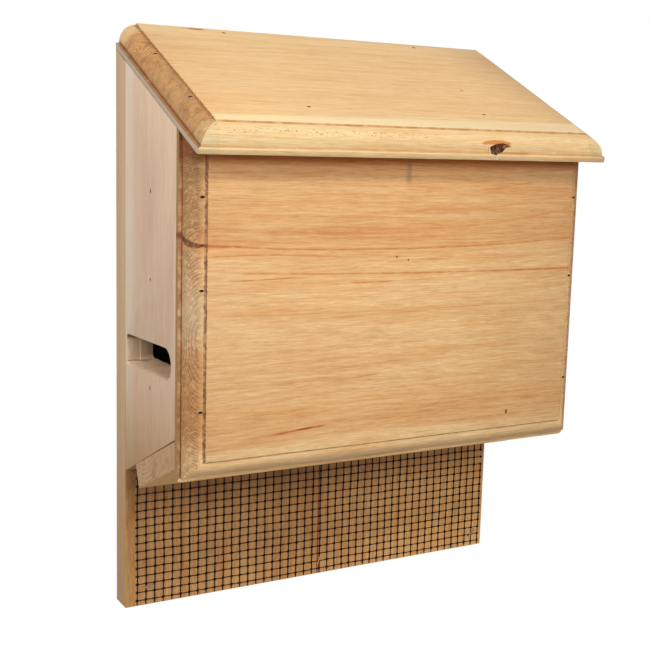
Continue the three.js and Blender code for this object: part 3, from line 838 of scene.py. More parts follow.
def slot_marks(grain, paint):
    """The router's scorching and painted shade under the slot's top, the fine arcs that it left on the
    slot's floor, painted shade deeper in the slot and where its back wall meets the floor, and painted
    light near the floor's outer edge.
    """
    depth = -grain.through
    slope = math.tan(math.radians(slot_tilt_deg))
    above = grain.along - (side_tail + slot_above_tail - slot_drop)
    above = above - (grain.across - slot_middle_across) * slope
    in_slot = depth.step(0.3, 0.8) * above.math("ABSOLUTE").step(14.0, 15.0).flip()
    in_slot = in_slot * grain.across.step(slot_back_margin - 1.5, slot_back_margin - 0.5)
    edge_noise = (grain.noise(5.0, 5.0, 2.0, 81.0) - 0.5) * 3.0
    end_wall = grain.across.step(9.0, 4.0) * in_slot
    paint.cover(end_wall * 0.5, (246, 216, 180))
    # Router scorching and painted shade under the slot's top.
    scorch_and_shade_under_top = (above + edge_noise).step(slot_height / 2 - 5.0, slot_height / 2 - 1.8)
    paint.cover(scorch_and_shade_under_top * in_slot * 0.85, (144, 88, 46))
    # Painted shade deeper in the slot and towards its front, and painted light on its floor near the outer
    # edge.
    floor_part = grain.facing(up).step(0.2, 0.7) * above.step(-2.0, -5.0) * in_slot
    darker = depth.step(1.0, 12.0) * 0.5 + grain.across.step(30.0, 90.0) * 0.5
    paint.stain(floor_part * darker, (236, 216, 194))
    paint.cover(floor_part * darker.flip() * 0.5, (232, 204, 168))
    paint.cover(floor_part * depth.step(7.0, 0.5) * 0.65, (252, 226, 190))
    # Painted shade along the inside corner where the slot's back wall meets its floor.
    painted_crease_shade = (above + slot_height / 2 - 2.6 + edge_noise * 0.2).bump(0.0, 0.9)
    painted_crease_shade = painted_crease_shade * grain.across.step(13.0, 9.0) * in_slot
    paint.cover(painted_crease_shade * 0.7, (140, 94, 62))
    from_bend = (grain.across - 34.0).math("MINIMUM", 0.0) * 0.55
    reach = (from_bend * from_bend + depth * depth).math("SQRT") + edge_noise * 0.35
    arcs = (reach / 1.7).math("FRACT").bump(0.5, 0.32)
    arcs = arcs * grain.noise(9.0, 9.0, 1.0, 83.0).step(0.38, 0.58)
    paint.cover(arcs * floor_part * 0.5, (150, 114, 82))


def side_marks(grain, paint):
    pale = (grain.across + (grain.noise(60.0, 8.0, 2.0, 3.0) - 0.5) * 6.0).step(12.0, 24.0).flip()
    paint.cover(pale * 0.75, (219, 203, 178))
    pink = grain.noise(30.0, 1.8, 2.0, 47.0).step(0.54, 0.70)
    paint.cover(pink * 0.45, (214, 162, 132))
    # Painted shade: the side turns darker towards its foot.
    lower = grain.along.step(95.0, 200.0).flip()
    paint.stain(lower, (211, 188, 152))
    slot_marks(grain, paint)


left_box, right_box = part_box("left_side"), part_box("right_side")
side_start = Vector((left_box[0].x, left_box[1].y, cad_low.z))
left_grain = board_place(side_start, up, -back, -right)
right_grain = board_place(Vector((right_box[1].x, right_box[1].y, cad_low.z)), up, -back, right)
left_wood = wood("left_side_wood", left_grain, side_look, side_marks)
right_wood = wood("right_side_wood", right_grain, dict(side_look, seed=29.0), side_marks)

floor_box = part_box("floor_board")
floor_look = dict(
    side_look, seed=37.0, heart_across=70.0, heart_through=60.0, late_share=0.3,
    end_early=(204, 165, 121), end_late=(152, 107, 71), end_ring_share=0.55, fleck_share=0.1,
)
floor_grain = board_place(floor_box[0], right, back, up)


def floor_marks(grain, paint):
    under = grain.facing(up).step(0.5, 0.9)
    red = grain.across.bump(38.0, 8.0) * grain.facing(right).step(0.5, 0.9)
    paint.cover(red * grain.noise(4.0, 9.0, 2.0, 5.0).step(0.4, 0.6) * 0.5, (160, 100, 66))
    lines = grain.noise(60.0, 2.2, 3.0, 91.0).step(0.36, 0.66)
    tint = mix(lines, (255, 206, 137), (245, 187, 114))
    paint.cover(under * 0.85, tint)


floor_wood = wood("floor_wood", floor_grain, floor_look, floor_marks)

back_look = {
    "seed": 41.0, "heart_across": -60.0, "heart_through": 60.0, "wander": 9.0, "ripple": 2.5,
    "ring_width": 3.4, "late_share": 0.3, "fibre_length": 14.0, "fibre_width": 1.0,
    "fibre_share": 0.15, "dash_share": 0.14, "patch_share": 0.05, "fleck_share": 0.1,
    "end_ring_share": 0.8, "mottle_share": 0.3, "pore_share": 0.3, "end_pore": (214, 176, 130),
    "early": (241, 182, 115), "late": (186, 123, 67), "cloud": (206, 147, 87),
    "cloud_share": 0.3, "end_early": (186, 146, 104), "end_late": (128, 90, 56),
    "roughness": 0.72,
}
joint_x = -0.8
box_foot, box_inside = 112.0, 132.0


def back_marks(grain, paint):
    edge = grain.facing(right).step(0.5, 0.9)
    front_face = grain.through.step(10.0, 18.0) * edge.flip()
    # Painted shade: the boards' narrow edge turns darker towards the foot.
    painted_low_edge_shade = grain.along.step(40.0, 200.0).flip()
    paint.cover(edge * 0.75, (192, 166, 140))
    paint.stain(edge * painted_low_edge_shade * 0.8, (232, 219, 189))
    orange = grain.noise(40.0, 12.0, 2.0, 49.0).step(0.50, 0.66)
    paint.stain(orange * edge.flip() * 0.5, (250, 226, 198))
    to_the_left = grain.across.step(130.0, -40.0)
    paint.stain(to_the_left * edge.flip(), (216, 214, 216))
    halo = grain.across.bump(joint_x, 3.6) * edge.flip()
    paint.cover(halo * 0.5, (214, 140, 84))
    joint = grain.across.bump(joint_x, 1.1) * edge.flip()
    paint.cover(joint, (122, 44, 18))
    shaded = grain.along.step(50.0, 95.0) * front_face
    paint.stain(shaded, (226, 221, 224))
    # Painted shade: the front face inside the box is made nearly black, and the strip beside the net
    # darker.
    inside = grain.along.step(box_foot, box_inside) * front_face
    painted_shade_beside_net = grain.across.step(-151.0, -150.0).flip() * edge.flip()
    paint.stain(painted_shade_beside_net * 0.6, (222, 220, 214))
    paint.stain(inside, (62, 50, 44))


back_grain = board_place(Vector((0, 0, cad_low.z)), up, right, -back)
back_left_wood = wood("back_left_wood", back_grain, back_look, back_marks)
back_right_look = dict(back_look, seed=53.0, heart_across=95.0)
back_right_wood = wood("back_right_wood", back_grain, back_right_look, back_marks)
# Painted shade: the partition's wood is made darker, as it stands inside the box.
inner_look = dict(back_look, seed=61.0, heart_across=40.0, heart_through=90.0)
inner_look.update(early=(150, 116, 82), late=(118, 86, 56), cloud=(124, 92, 62))
inner_wood = wood("inner_wood", board_place(Vector((0, 0, cad_low.z)), right, up, -back), inner_look)

# %% [markdown]
# Nail holes show dark, because a nail set crushes the fibres and the head sits in shadow, and their
# wood carries painted shade for that shadow. The heads themselves are dull wire. The staples are
# brighter galvanized wire, and the middle ones have rusted.

# %% Metal, dark hole wood with painted shade, knot wood and net plastic
def fine_noise(tree, finer, detail, shift=0.0):
    """Noise at the place of a point in metres, made finer in x, y and z by these factors."""
    place = tree.nodes.new("ShaderNodeTexCoord").outputs["Object"]
    bigger = tree.nodes.new("ShaderNodeMapping")
    bigger.inputs["Scale"].default_value = finer
    bigger.inputs["Location"].default_value = (shift, shift, shift)
    tree.links.new(place, bigger.inputs["Vector"])
    return spot_noise(tree, bigger.outputs[0], detail)


def metal(name, bright, dark, roughness, seed):
    material, tree, shader = new_material(name)
    stain = fine_noise(tree, (900, 900, 900), 3.0, seed)
    plug(mix(stain.step(0.35, 0.65), bright, dark), shader.inputs["Base Color"])
    plug(stain * 0.25 + roughness, shader.inputs["Roughness"])
    shader.inputs["Metallic"].default_value = 0.9
    return material


brad_metal = metal("brad_steel", (92, 60, 40), (58, 38, 26), 0.65, 1.0)
staple_metal = metal("staple_steel", (168, 160, 146), (128, 112, 94), 0.5, 5.0)
rusty_metal = metal("rusty_staple", (208, 164, 104), (150, 100, 58), 0.6, 7.0)


def dark_pit_wood(name, light, dark, finer=(1500, 1500, 1500)):
    material, tree, shader = new_material(name)
    pit_mottle = fine_noise(tree, finer, 2.0).step(0.35, 0.6)
    plug(mix(pit_mottle, light, dark), shader.inputs["Base Color"])
    shader.inputs["Roughness"].default_value = 0.9
    return material


# Fibres that the punch crushes, and painted shade: the holes' wood is dark like a shaded hollow.
crushed_and_shaded_hole_wood = dark_pit_wood("crushed_and_shaded_wood", (98, 62, 42), (52, 32, 24))
knot_wood = dark_pit_wood("knot_wood", (168, 106, 56), (48, 26, 18), (1100, 300, 300))

net_plastic, tree, shader = new_material("net_plastic")
dust = fine_noise(tree, (400, 400, 400), 3.0)
plug(mix(dust.step(0.4, 0.7), (12, 8, 6), (30, 22, 17)), shader.inputs["Base Color"])
plug(dust * 0.2 + 0.6, shader.inputs["Roughness"])
shader.inputs["Specular IOR Level"].default_value = 0.12
print("metal, holes and plastic made")

# %% [markdown]
# Every piece ends the same way: its faces are turned outwards, its rounds are smoothed while its
# corners stay crisp, and the solid of the construction model that it stands for is hidden. A cut is
# made by Blender's exact boolean. It fails now and then on faces that nearly touch, so the wood that is
# left gets weighed, and a bad cut is made again a hair to the side.

# %% Finishing and cutting pieces
def place_object(name, bm, materials):
    bmesh.ops.recalc_face_normals(bm, faces=bm.faces)
    mesh = bpy.data.meshes.new(name)
    bm.to_mesh(mesh)
    bm.free()
    for material in materials:
        mesh.materials.append(material)
    piece = bpy.data.objects.new(name, mesh)
    bpy.context.scene.collection.objects.link(piece)
    return piece


def stand_for(piece, node, sharp_deg=28):
    """Shade a finished piece and let it stand for a node of the construction model."""
    piece.data.shade_smooth()
    piece.data.set_sharp_from_angle(angle=math.radians(sharp_deg))
    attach(piece, "root")
    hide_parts(node)


def volume_of(mesh):
    bm = bmesh.new()
    bm.from_mesh(mesh)
    volume = bm.calc_volume()
    bm.free()
    return volume


least_left, cut_attempts = 0.9, 6
hair = Vector((0.013, 0.007, 0.011)) * mm
same_place, shortest_edge = 1e-6, 1e-4
sharp_turn = 0.9
routed_ease, plain_ease, side_ease, brad_ease = 0.35, 0.4, 0.3, 0.14


def carve(piece, cutter, inside):
    """Cut the cutter's shape out of a piece. The cut surface takes the inside material."""
    tool = place_object("cutter", cutter, [inside])
    cut = piece.modifiers.new("cut", "BOOLEAN")
    cut.operation = "DIFFERENCE"
    cut.solver = "EXACT"
    cut.material_mode = "TRANSFER"
    cut.object = tool
    whole = volume_of(piece.data)
    for attempt in range(cut_attempts):
        graph = bpy.context.evaluated_depsgraph_get()
        carved = bpy.data.meshes.new_from_object(piece.evaluated_get(graph))
        if volume_of(carved) > whole * least_left:
            break
        print("cut of", piece.name, "is made again a hair aside")
        tool.data.transform(Matrix.Translation(hair))
        tool.data.update()
    else:
        raise ValueError(f"{piece.name} could not be cut")
    piece.modifiers.clear()
    piece.data = carved
    bpy.data.objects.remove(tool)


def verts_of(result):
    return [part for part in result["geom"] if isinstance(part, bmesh.types.BMVert)]


def pull(bm, face, way):
    """Extrude one face of a closed shape, move it, and give it back in its new place."""
    moved = bmesh.ops.extrude_discrete_faces(bm, faces=[face])["faces"][0]
    bmesh.ops.translate(bm, verts=moved.verts, vec=way)
    return moved


def edges_along(bm, axis, at):
    """The edges that run along an axis, 0 for x to 2 for z, and have both ends at such a place."""
    return [
        edge for edge in bm.edges
        if abs(edge.verts[0].co[axis] - edge.verts[1].co[axis]) > shortest_edge
        and all(at(vert.co) for vert in edge.verts)
    ]


def round_edges(bm, edges, radius, segments):
    bmesh.ops.bevel(
        bm, geom=edges, offset=radius * mm, offset_type="OFFSET", segments=segments, profile=0.5,
        affect="EDGES", clamp_overlap=True, material=-1,
    )


def ease_edges(bm, reach, keep=None):
    """Take the sharpness off the outer corners, as a pass with sandpaper does."""
    bm.normal_update()
    sharp = [
        edge for edge in bm.edges
        if edge.is_convex and edge.calc_face_angle(0.0) > sharp_turn and (keep is None or keep(edge))
    ]
    round_edges(bm, sharp, reach, 2)


# %% [markdown]
# A routed board starts as a thin slab, the lip. Its top face is inset and raised again and again,
# which draws the round from its foot to its top, and once more for the step to the flat field. The
# inset keeps both directions in step, so the profiles meet in a mitre at the corners by themselves.
# Turning one profile along a path would need the corners joined by hand. The high end isn't routed:
# the slab is made too long, and a plane cuts it off.

# %% Routed boards
round_steps = 24
field_step_run = 0.1
spare_length = 30.0
slant_share, mitre_room = 0.15, 0.4


def routed_board(width, length, low_ledge_width, corner_radius):
    """Lies flat: x across, y from the routed low end, z its thickness. Sizes in metres."""
    bm = bmesh.new()
    bmesh.ops.create_cube(bm, size=1.0)
    bmesh.ops.translate(bm, verts=bm.verts, vec=(0, 0.5, 0.5))
    bmesh.ops.scale(bm, verts=bm.verts, vec=(width, length, lip_thickness * mm))
    bm.normal_update()
    top = max(bm.faces, key=lambda face: face.calc_center_median().z)
    bmesh.ops.inset_region(bm, faces=[top], thickness=lip_ledge_width * mm, use_even_offset=True)
    for step in range(round_steps):
        turns = [math.pi / 2 * share / round_steps for share in (step, step + 1)]
        inwards = round_radius * (math.cos(turns[0]) - math.cos(turns[1])) * mm
        upwards = round_radius * (math.sin(turns[1]) - math.sin(turns[0])) * mm
        bmesh.ops.inset_region(bm, faces=[top], thickness=inwards, depth=upwards, use_even_offset=True)
    bmesh.ops.inset_region(
        bm, faces=[top], thickness=field_step_run * mm, depth=field_step_height * mm,
        use_even_offset=True,
    )
    corners = edges_along(
        bm, 2, lambda co: abs(abs(co.x) - width / 2) < same_place and co.y < same_place
    )
    low_rim = [vert for vert in bm.verts if vert.co.y < same_place]
    longer = (low_ledge_width - lip_ledge_width) * mm
    bmesh.ops.translate(bm, verts=low_rim, vec=(0, -longer, 0))
    bmesh.ops.translate(bm, verts=bm.verts, vec=(0, longer, 0))
    round_edges(bm, corners, corner_radius, 6)
    return bm


def cut_off(bm, point, outwards):
    """Saw off all that lies beyond a plane, and close the cut."""
    everything = list(bm.verts) + list(bm.edges) + list(bm.faces)
    cut = bmesh.ops.bisect_plane(bm, geom=everything, plane_co=point, plane_no=outwards, clear_outer=True)
    rim = [part for part in cut["geom_cut"] if isinstance(part, bmesh.types.BMEdge)]
    bmesh.ops.edgeloop_fill(bm, edges=rim)


def not_a_mitre(edge):
    """True unless the edge is one of the sloping corner lines of a routed edge."""
    way = edge.verts[0].co - edge.verts[1].co
    slanted = min(abs(way.x), way.yz.length) > slant_share * way.length
    inward = min(half_width * mm - abs(vert.co.x) for vert in edge.verts)
    return not (slanted and inward > (lip_ledge_width - mitre_room) * mm)


def placed_board(origin, length_way, out_way, length, cut_point, cut_way, low_ledge, corner):
    bm = routed_board(half_width * 2 * mm, length + spare_length * mm, low_ledge, corner)
    turn = Matrix((right, length_way, out_way)).transposed().to_4x4()
    bmesh.ops.transform(bm, matrix=Matrix.Translation(origin) @ turn, verts=bm.verts)
    cut_off(bm, cut_point, cut_way)
    ease_edges(bm, routed_ease, not_a_mitre)
    return bm


front_origin = Vector((0, front_box[1].y, front_box[0].z))
front_cut = Vector((0, front_box[1].y, front_box[1].z))
front_bm = placed_board(
    front_origin, up, -back, front_box[1].z - front_box[0].z, front_cut, out_of_roof,
    front_foot_ledge_width, front_corner_radius,
)
front_piece = place_object("front_wood", front_bm, [front_wood])
roof_bm = placed_board(
    roof_tip, -down_slope, out_of_roof, roof_reach * mm, Vector((0, 0, 0)), back,
    lip_ledge_width, roof_corner_radius,
)
roof_piece = place_object("roof_wood", roof_bm, [roof_wood])
print("front:", len(front_piece.data.polygons), "faces, roof:", len(roof_piece.data.polygons), "faces")

# %% [markdown]
# The plain boards are outlines in side view, extruded along the box's width. Their numbers come from
# the construction model's own boxes and from the two slopes.

# %% Plain boards
floor_pitch = math.radians(25.5)
floor_thickness = 16.8
floor_front_gap = 0.8
snug = 0.25
joint_room = 5.0


def plain_board(outline, low_x, high_x):
    """A board whose outline is given in side view, as (y, z) corners."""
    bm = bmesh.new()
    face = bm.faces.new([bm.verts.new((low_x, y, z)) for y, z in outline])
    run = bmesh.ops.extrude_face_region(bm, geom=[face])
    bmesh.ops.translate(bm, verts=verts_of(run), vec=(high_x - low_x, 0, 0))
    bmesh.ops.recalc_face_normals(bm, faces=bm.faces)
    return bm


def slanted_outline(box, foot_slope):
    low, high = box
    depth = high.y - low.y
    return [
        (high.y, low.z),
        (high.y, high.z),
        (low.y, high.z - depth * math.tan(roof_pitch)),
        (low.y, low.z + depth * math.tan(foot_slope)),
    ]


def plain_piece(node, outline, material, keep=None):
    low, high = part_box(node)
    bm = plain_board(outline, low.x, high.x)
    ease_edges(bm, plain_ease, keep)
    return place_object(node + "_wood", bm, [material])


def away_from_joint(edge):
    """True unless the edge lies where the two back boards meet."""
    return all(abs(vert.co.x) > joint_room * mm for vert in edge.verts)


back_pieces = {}
for node, material in (("back_board_left", back_left_wood), ("back_board_right", back_right_wood)):
    outline = slanted_outline(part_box(node), 0.0)
    back_pieces[node] = plain_piece(node, outline, material, away_from_joint)

low, high = floor_box
floor_depth = high.y - low.y
floor_slope = math.atan(math.tan(floor_pitch) - floor_front_gap * mm / floor_depth)
floor_top_back = low.z + floor_thickness * mm * math.cos(floor_slope)
floor_piece = plain_piece("floor_board", [
    (high.y, floor_top_back + snug * mm),
    (low.y, high.z),
    (low.y, high.z - floor_thickness * mm / math.cos(floor_slope)),
    (high.y - floor_thickness * mm * math.sin(floor_slope), low.z),
], floor_wood, lambda edge: any(vert.co.z < floor_top_back - 2 * mm for vert in edge.verts))

low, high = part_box("roost_partition")
partition_piece = plain_piece("roost_partition", [
    (high.y, low.z), (high.y, high.z), (low.y, high.z), (low.y, low.z),
], inner_wood)
print("plain boards:", [piece.name for piece in (*back_pieces.values(), floor_piece, partition_piece)])

# %% [markdown]
# Each side has a vent slot. Its front end is round and its back end nearly square. A router cut it in
# two passes, one from each face, and they didn't quite meet: a fine ridge runs down the back wall. Its
# floor falls outwards, so that rain runs off, and is worn soft at the outer edge. So the cutter is a
# long block with rounded ends, extruded in two steps. A straight prism would leave it too perfect.

# %% Sides and their slots
slot_back_corner = 3.5
slot_floor_outer, slot_floor_inner, slot_floor_front_share = -1.6, 4.2, 0.35
slot_nudge = Vector((0.0, -0.28, 0.1))
slot_splinters, splinter_size, splinter_height = 26, 1.9, 2.2
worn_radius, worn_from, worn_to, worn_turn = 2.8, 4.0, 18.0, 0.7
# Shares of the side's thickness: how long each pass is, and where the first one has its middle.
outer_pass, outer_middle, ridge, inner_pass, past_inner_face = 0.8, 0.1, 0.02, 0.8, 1.25


def slot_cutter(box, outer_x, inner_x):
    low, high = box
    length = high.y - low.y - (slot_back_margin + slot_front_margin) * mm
    middle = Vector((
        outer_x,
        high.y - slot_back_margin * mm - length / 2,
        low.z + (slot_above_tail - slot_drop) * mm,
    ))
    inwards = inner_x - outer_x
    bm = bmesh.new()
    bmesh.ops.create_cube(bm, size=1.0)
    bmesh.ops.scale(bm, verts=bm.verts, vec=(abs(inwards) * outer_pass, length, slot_height * mm))
    for sign, radius, segments in ((-1, slot_height / 2 - 0.05, 24), (1, slot_back_corner, 8)):
        ends = edges_along(bm, 0, lambda co: abs(co.y - sign * length / 2) < same_place)
        round_edges(bm, ends, radius, segments)
    bmesh.ops.rotate(bm, verts=bm.verts, matrix=Matrix.Rotation(-math.radians(slot_tilt_deg), 3, "X"))
    bmesh.ops.translate(bm, verts=bm.verts, vec=middle + Vector((inwards * outer_middle, 0, 0)))
    innermost = max(bm.faces, key=lambda face: face.calc_center_median().x * math.copysign(1, inwards))
    innermost = pull(bm, innermost, Vector((inwards * ridge, *(slot_nudge.yz * mm))))
    pull(bm, innermost, Vector((inwards * inner_pass, 0, 0)))
    floor_edges = [
        edge for edge in bm.edges
        if abs(edge.verts[0].co.y - edge.verts[1].co.y) > length * 0.4
        and all(vert.co.z < middle.z for vert in edge.verts)
    ]
    bmesh.ops.subdivide_edges(bm, edges=floor_edges, cuts=slot_splinters, use_grid_fill=True)
    inner_end = outer_x + inwards * past_inner_face
    for vert in bm.verts:
        beyond = (vert.co.x - inner_end) * inwards > 0
        if beyond and vert.co.z < middle.z:
            vert.co.z += noise.noise(vert.co / (splinter_size * mm)) * splinter_height * mm
    for vert in bm.verts:
        below = max(0.0, middle.z - vert.co.z) / (slot_height / 2 * mm)
        share = (vert.co.x - outer_x) / inwards
        backwards = (vert.co.y - middle.y) / length + 0.5
        outer_share = slot_floor_front_share + (1 - slot_floor_front_share) * backwards
        outer_drop = slot_floor_outer * outer_share
        drop = outer_drop + (slot_floor_inner - outer_drop) * min(max(share, 0.0), 1.0)
        vert.co.z += below * drop * mm
    return bm


def soften_lower_rim(bm, outer_x, middle_z):
    """Round the lower half of the slot's outer edge, where rain and claws have worn it."""
    bm.normal_update()
    lower = [
        edge for edge in bm.edges
        if edge.is_convex and edge.calc_face_angle(0.0) > worn_turn
        and all(abs(vert.co.x - outer_x) < 0.01 * mm for vert in edge.verts)
        and all(worn_from * mm < middle_z - vert.co.z < worn_to * mm for vert in edge.verts)
    ]
    round_edges(bm, lower, worn_radius, 6)
    print("softened rim edges:", len(lower))


side_pieces = {}
for node, material, sign in (("left_side", left_wood, -1), ("right_side", right_wood, 1)):
    low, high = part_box(node)
    snug_box = (low, high + back * snug * mm)
    bm = plain_board(slanted_outline(snug_box, floor_pitch), low.x, high.x)
    side = place_object(node + "_wood", bm, [material])
    outer, inner = (low.x, high.x) if sign < 0 else (high.x, low.x)
    carve(side, slot_cutter((low, high), outer, inner), material)
    bm = bmesh.new()
    bm.from_mesh(side.data)
    soften_lower_rim(bm, outer, low.z + (slot_above_tail - slot_drop) * mm)
    ease_edges(bm, side_ease, lambda edge: any(vert.co.y < high.y - mm for vert in edge.verts))
    bm.to_mesh(side.data)
    bm.free()
    side_pieces[node] = side
print("slots:", {name: len(side.data.polygons) for name, side in side_pieces.items()})

# %% [markdown]
# Brads are thin nails with a small flat T head, set just below the surface with a punch. Each one
# takes its place and length from the construction model, and each hole's mouth is an oval a little
# larger than the head, in wood that the punch crushes and that carries painted shade.

# %% Brads and their holes
brad_head_width, brad_head_height = 3.0, 0.9
brad_wire_width, brad_wire_thickness, brad_shank_share = 1.6, 1.5, 0.96
brad_point_length, brad_point_share = 3.0, 0.12
hole_sizes = {"front": (3.3, 1.9), "roof": (3.2, 1.9), "floor": (2.6, 1.0)}
usual_hole = (3.4, 1.5)
hole_cutter_height, hole_cutter_sunk = 3.0, 0.02
hole_floor_share, hole_mouth_share = 0.42, 0.56


def head_of(node, out):
    """Middle of a brad's head, on its outer face."""
    low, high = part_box(node)
    middle = (low + high) / 2
    return middle + out * abs((high - low).dot(out)) / 2


def facing(at, out, along):
    """A frame with its z axis out of the wood and its x axis along the head."""
    return Matrix.Translation(at) @ Matrix((along, out.cross(along), out)).transposed().to_4x4()


def brad(node, out, along):
    low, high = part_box(node)
    shank_end = abs((high - low).dot(out)) / mm - brad_point_length
    shank_thickness = brad_wire_thickness * brad_shank_share
    bm = bmesh.new()
    for width, thickness, top, depth in (
        (brad_head_width, brad_wire_thickness, 0.0, brad_head_height),
        (brad_wire_width, shank_thickness, brad_head_height * 0.5, shank_end),
    ):
        block = bmesh.ops.create_cube(bm, size=mm)
        bmesh.ops.scale(bm, verts=block["verts"], vec=(width, thickness, depth - top))
        bmesh.ops.translate(bm, verts=block["verts"], vec=(0, 0, -(depth + top) / 2 * mm))
    foot = min(bm.faces, key=lambda face: face.calc_center_median().z)
    point = pull(bm, foot, Vector((0, 0, -brad_point_length * mm)))
    for vert in point.verts:
        vert.co.x *= brad_point_share
    ease_edges(bm, brad_ease)
    bmesh.ops.transform(bm, matrix=facing(head_of(node, out), out, along), verts=bm.verts)
    stand_for(place_object(node + "_steel", bm, [brad_metal]), node)


def add_hole(bm, at, out, along, width, height):
    ring = bmesh.ops.create_cone(
        bm, cap_ends=True, segments=20, radius1=hole_floor_share, radius2=hole_mouth_share, depth=1.0
    )
    spread = Matrix.Diagonal((width * mm, height * mm, hole_cutter_height * mm, 1.0))
    lift = Matrix.Translation((0, 0, hole_cutter_height / 2 * mm - hole_cutter_sunk * mm))
    bmesh.ops.transform(bm, matrix=facing(at, out, along) @ lift @ spread, verts=ring["verts"])


def drive(node, out, along, board):
    """Make a brad, and add the hole that it sits in to its board's cutter."""
    brad(node, out, along)
    add_hole(holes[board], head_of(node, out), out, along, *hole_sizes.get(board, usual_hole))
    driven.append(node)


cut_boards = ("front", "roof", "left", "right", "floor", "back_left", "back_right")
holes = {board: bmesh.new() for board in cut_boards}
driven = []
for word, sign in (("left", -1), ("right", 1)):
    for row in ("low", "middle", "high"):
        drive(f"front_brad_{word}_{row}", -back, right, "front")
        drive(f"partition_brad_{word}_{row}", right * sign, up, word)
        drive(f"back_brad_{word}_{row}", back, right, "back_" + word)
    for name in ("side_brad_{}_back", "side_brad_{}_front", "front_brad_{}", "back_brad_{}"):
        drive("roof_" + name.format(word), up, right, "roof")
    for end in ("back", "front"):
        drive(f"floor_brad_{word}_{end}", -up, back, "floor")
print("brads:", len(driven))

# %% Holes cut into the boards
boards = {
    "front": (front_piece, "front_panel", "front_wood"),
    "roof": (roof_piece, "roof_board", "roof_wood"),
    "left": (side_pieces["left_side"], "left_side", "side_wood"),
    "right": (side_pieces["right_side"], "right_side", "side_wood"),
    "floor": (floor_piece, "floor_board", "side_wood"),
    "back_left": (back_pieces["back_board_left"], "back_board_left", "back_wood"),
    "back_right": (back_pieces["back_board_right"], "back_board_right", "back_wood"),
}
pit_arc = 3.5
pit_reach = (8.2, 4.2, 3.8)
pit_narrow, pit_flare, pit_lean = 0.78, 0.3, 1.6
pit_lump_size, pit_lump_height = 3.0, 0.9


def knot_pit():
    """A ragged hollow in the roof's round edge, wider above than below."""
    turn = pit_arc / round_radius
    out = down_slope * math.cos(turn) + out_of_roof * math.sin(turn)
    inward = (lip_ledge_width + round_radius * (1 - math.cos(turn))) * mm
    height = (lip_thickness + round_radius * math.sin(turn)) * mm
    place = roof_tip - down_slope * inward + out_of_roof * height + right * knot_place * mm
    bm = bmesh.new()
    bmesh.ops.create_icosphere(bm, subdivisions=4, radius=1.0)
    bmesh.ops.scale(bm, verts=bm.verts, vec=Vector(pit_reach) * mm)
    for vert in bm.verts:
        up_share = vert.co.y / (pit_reach[1] * mm)
        vert.co.x *= pit_narrow + pit_flare * up_share
        vert.co.x += up_share * pit_lean * mm
        vert.co += noise.noise_vector(vert.co / (pit_lump_size * mm)) * pit_lump_height * mm
    bmesh.ops.transform(bm, matrix=facing(place, out, right), verts=bm.verts)
    return bm


carve(roof_piece, knot_pit(), knot_wood)
for name, (piece, node, slot) in boards.items():
    carve(piece, holes[name], crushed_and_shaded_hole_wood)
    stand_for(piece, node)
    print(name, "board:", len(piece.data.polygons), "faces after its holes")
stand_for(partition_piece, "roost_partition")

# %% [markdown]
# The net is moulded from black plastic: thin level and upright strands, thicker where they weld. One
# crossing is built from two strands and a weld. It is copied into a row and the row is copied upwards,
# because the same small shape repeats thousands of times. Two short pieces that are missing on the
# real one are taken out. Last, the whole net is bent a little out of true, as thin plastic is.

# %% Climbing net
net_columns, net_rows = 45, 60
net_stub, net_foot_stub = 1.4, 3.6
upright_radius, level_radius, strand_flatness = 0.44, 0.34, 0.8
weld_radius, weld_flatness = 1.26, 0.5
net_low, net_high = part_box("climbing_net")
net_left = net_low.x + net_stub * mm
net_pitch = Vector((
    (net_high.x - net_low.x - 2 * net_stub * mm) / net_columns,
    0,
    (net_high.z - net_stub * mm - (net_low.z + net_foot_stub * mm)) / net_rows,
))
net_foot = Vector((net_left, (net_low.y + net_high.y) / 2, net_low.z + net_foot_stub * mm))


def add_strand(bm, start, end):
    way = end - start
    radius = upright_radius if abs(way.z) > abs(way.x) else level_radius
    turn = way.to_track_quat("Z", "Y").to_matrix().to_4x4()
    flatten = Matrix.Diagonal((1.0, strand_flatness, 1.0, 1.0))
    middle = Matrix.Translation((start + end) / 2)
    bmesh.ops.create_cone(
        bm, cap_ends=True, segments=6, radius1=radius * mm, radius2=radius * mm,
        depth=way.length, matrix=middle @ flatten @ turn,
    )


def add_weld(bm, at):
    flatten = Matrix.Diagonal((1.0, weld_flatness, 1.0, 1.0))
    bmesh.ops.create_icosphere(
        bm, subdivisions=1, radius=weld_radius * mm, matrix=Matrix.Translation(at) @ flatten
    )


def copies(bm, count, step):
    """Repeat all that the bmesh holds, count times in all, a step apart."""
    first = list(bm.verts) + list(bm.edges) + list(bm.faces)
    for number in range(1, count):
        more = bmesh.ops.duplicate(bm, geom=first)
        bmesh.ops.translate(bm, verts=verts_of(more), vec=step * number)


level = Vector((net_pitch.x, 0, 0))
rise = Vector((0, 0, net_pitch.z))
net_bm = bmesh.new()
add_weld(net_bm, net_foot)
add_strand(net_bm, net_foot, net_foot + level)
add_strand(net_bm, net_foot, net_foot + rise)
copies(net_bm, net_columns, level)
last = net_foot + level * net_columns
add_weld(net_bm, last)
add_strand(net_bm, last, last + rise)
add_strand(net_bm, last, last + right * net_stub * mm)
add_strand(net_bm, net_foot, net_foot - right * net_stub * mm)
copies(net_bm, net_rows, rise)
for column in range(net_columns + 1):
    place = net_foot + level * column
    add_strand(net_bm, place, place - up * net_foot_stub * mm)
    add_strand(net_bm, place + rise * net_rows, place + rise * net_rows + up * net_stub * mm)
print("net:", len(net_bm.faces), "faces")

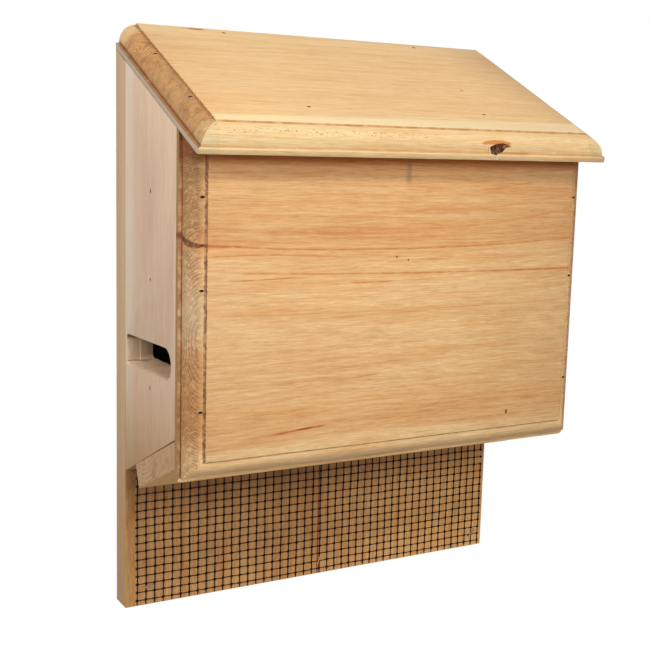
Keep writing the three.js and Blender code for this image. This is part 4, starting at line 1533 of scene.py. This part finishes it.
# %% Missing pieces and waviness of the net
missing, missing_reach = [(net_columns, 11), (net_columns, 12)], 1.2
wave_length, wave_height = 28.0, 0.55
bulge, bulge_reach = 1.5, 50.0
steady_foot = 2.0
for column, row in missing:
    spot_missing = net_foot + level * column + rise * (row + 0.5)
    near = {
        vert for face in net_bm.faces
        if (face.calc_center_median() - spot_missing).length < missing_reach * mm for vert in face.verts
    }
    bmesh.ops.delete(net_bm, geom=list(near), context="VERTS")
for vert in net_bm.verts:
    bend = noise.noise_vector(vert.co / (wave_length * mm)) * wave_height * mm
    vert.co.x += bend.x + bulge * mm * math.exp(-(vert.co.x / (bulge_reach * mm)) ** 2)
    vert.co.z += bend.z * (vert.co.z - net_low.z > steady_foot * mm)
    vert.co.x = min(max(vert.co.x, net_low.x), net_high.x)
    vert.co.z = min(max(vert.co.z, net_low.z), net_high.z)
net_piece = place_object("climbing_net_plastic", net_bm, [net_plastic])
stand_for(net_piece, "climbing_net", 60)

# %% [markdown]
# A staple is one wire bent to a U. It starts as a cylinder, the first leg. The leg's end is spun round
# the first bend, pulled along the crown, spun again and pulled down. That keeps the wire round through
# its bends.

# %% Staples
staple_tilts_deg = {
    "left_low": 8, "middle_low": 66, "right_low": 42, "left_high": 50, "middle_high": 70, "right_high": 35,
}
staple_crown, staple_leg, staple_wire, staple_bend = 8.5, 9.0, 1.0, 0.9


def staple(node, tilt, material):
    low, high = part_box(node)
    half = (staple_crown - staple_wire) / 2
    bend_z = -(staple_wire / 2 + staple_bend) * mm
    leg = (staple_leg + staple_wire) * mm + bend_z
    bm = bmesh.new()
    bmesh.ops.create_cone(
        bm, cap_ends=True, segments=12, radius1=staple_wire / 2 * mm, radius2=staple_wire / 2 * mm,
        depth=leg, matrix=Matrix.Translation((-half * mm, 0, bend_z - leg / 2)),
    )
    end = max(bm.faces, key=lambda face: face.calc_center_median().z)

    def bend(face, centre_x):
        turned = bmesh.ops.spin(
            bm, geom=[face], cent=(centre_x * mm, 0, bend_z), axis=(0, 1, 0), angle=math.pi / 2,
            steps=5, use_duplicate=False, use_merge=False,
        )
        bmesh.ops.delete(bm, geom=[face], context="FACES_ONLY")
        return next(part for part in turned["geom_last"] if isinstance(part, bmesh.types.BMFace))

    end = bend(end, -half + staple_bend)
    end = pull(bm, end, Vector((2 * (half - staple_bend) * mm, 0, 0)))
    end = bend(end, half - staple_bend)
    pull(bm, end, Vector((0, 0, -leg)))
    along = Vector((math.cos(tilt), 0, math.sin(tilt)))
    crown = Vector(((low.x + high.x) / 2, low.y, (low.z + high.z) / 2))
    bmesh.ops.transform(bm, matrix=facing(crown, -back, along), verts=bm.verts)
    piece = place_object(node + "_wire", bm, [material])
    stand_for(piece, node, 50)


for place_word, tilt_deg in staple_tilts_deg.items():
    material = rusty_metal if place_word.startswith("middle") else staple_metal
    staple("net_staple_" + place_word, math.radians(tilt_deg), material)
print("staples:", len(staple_tilts_deg))
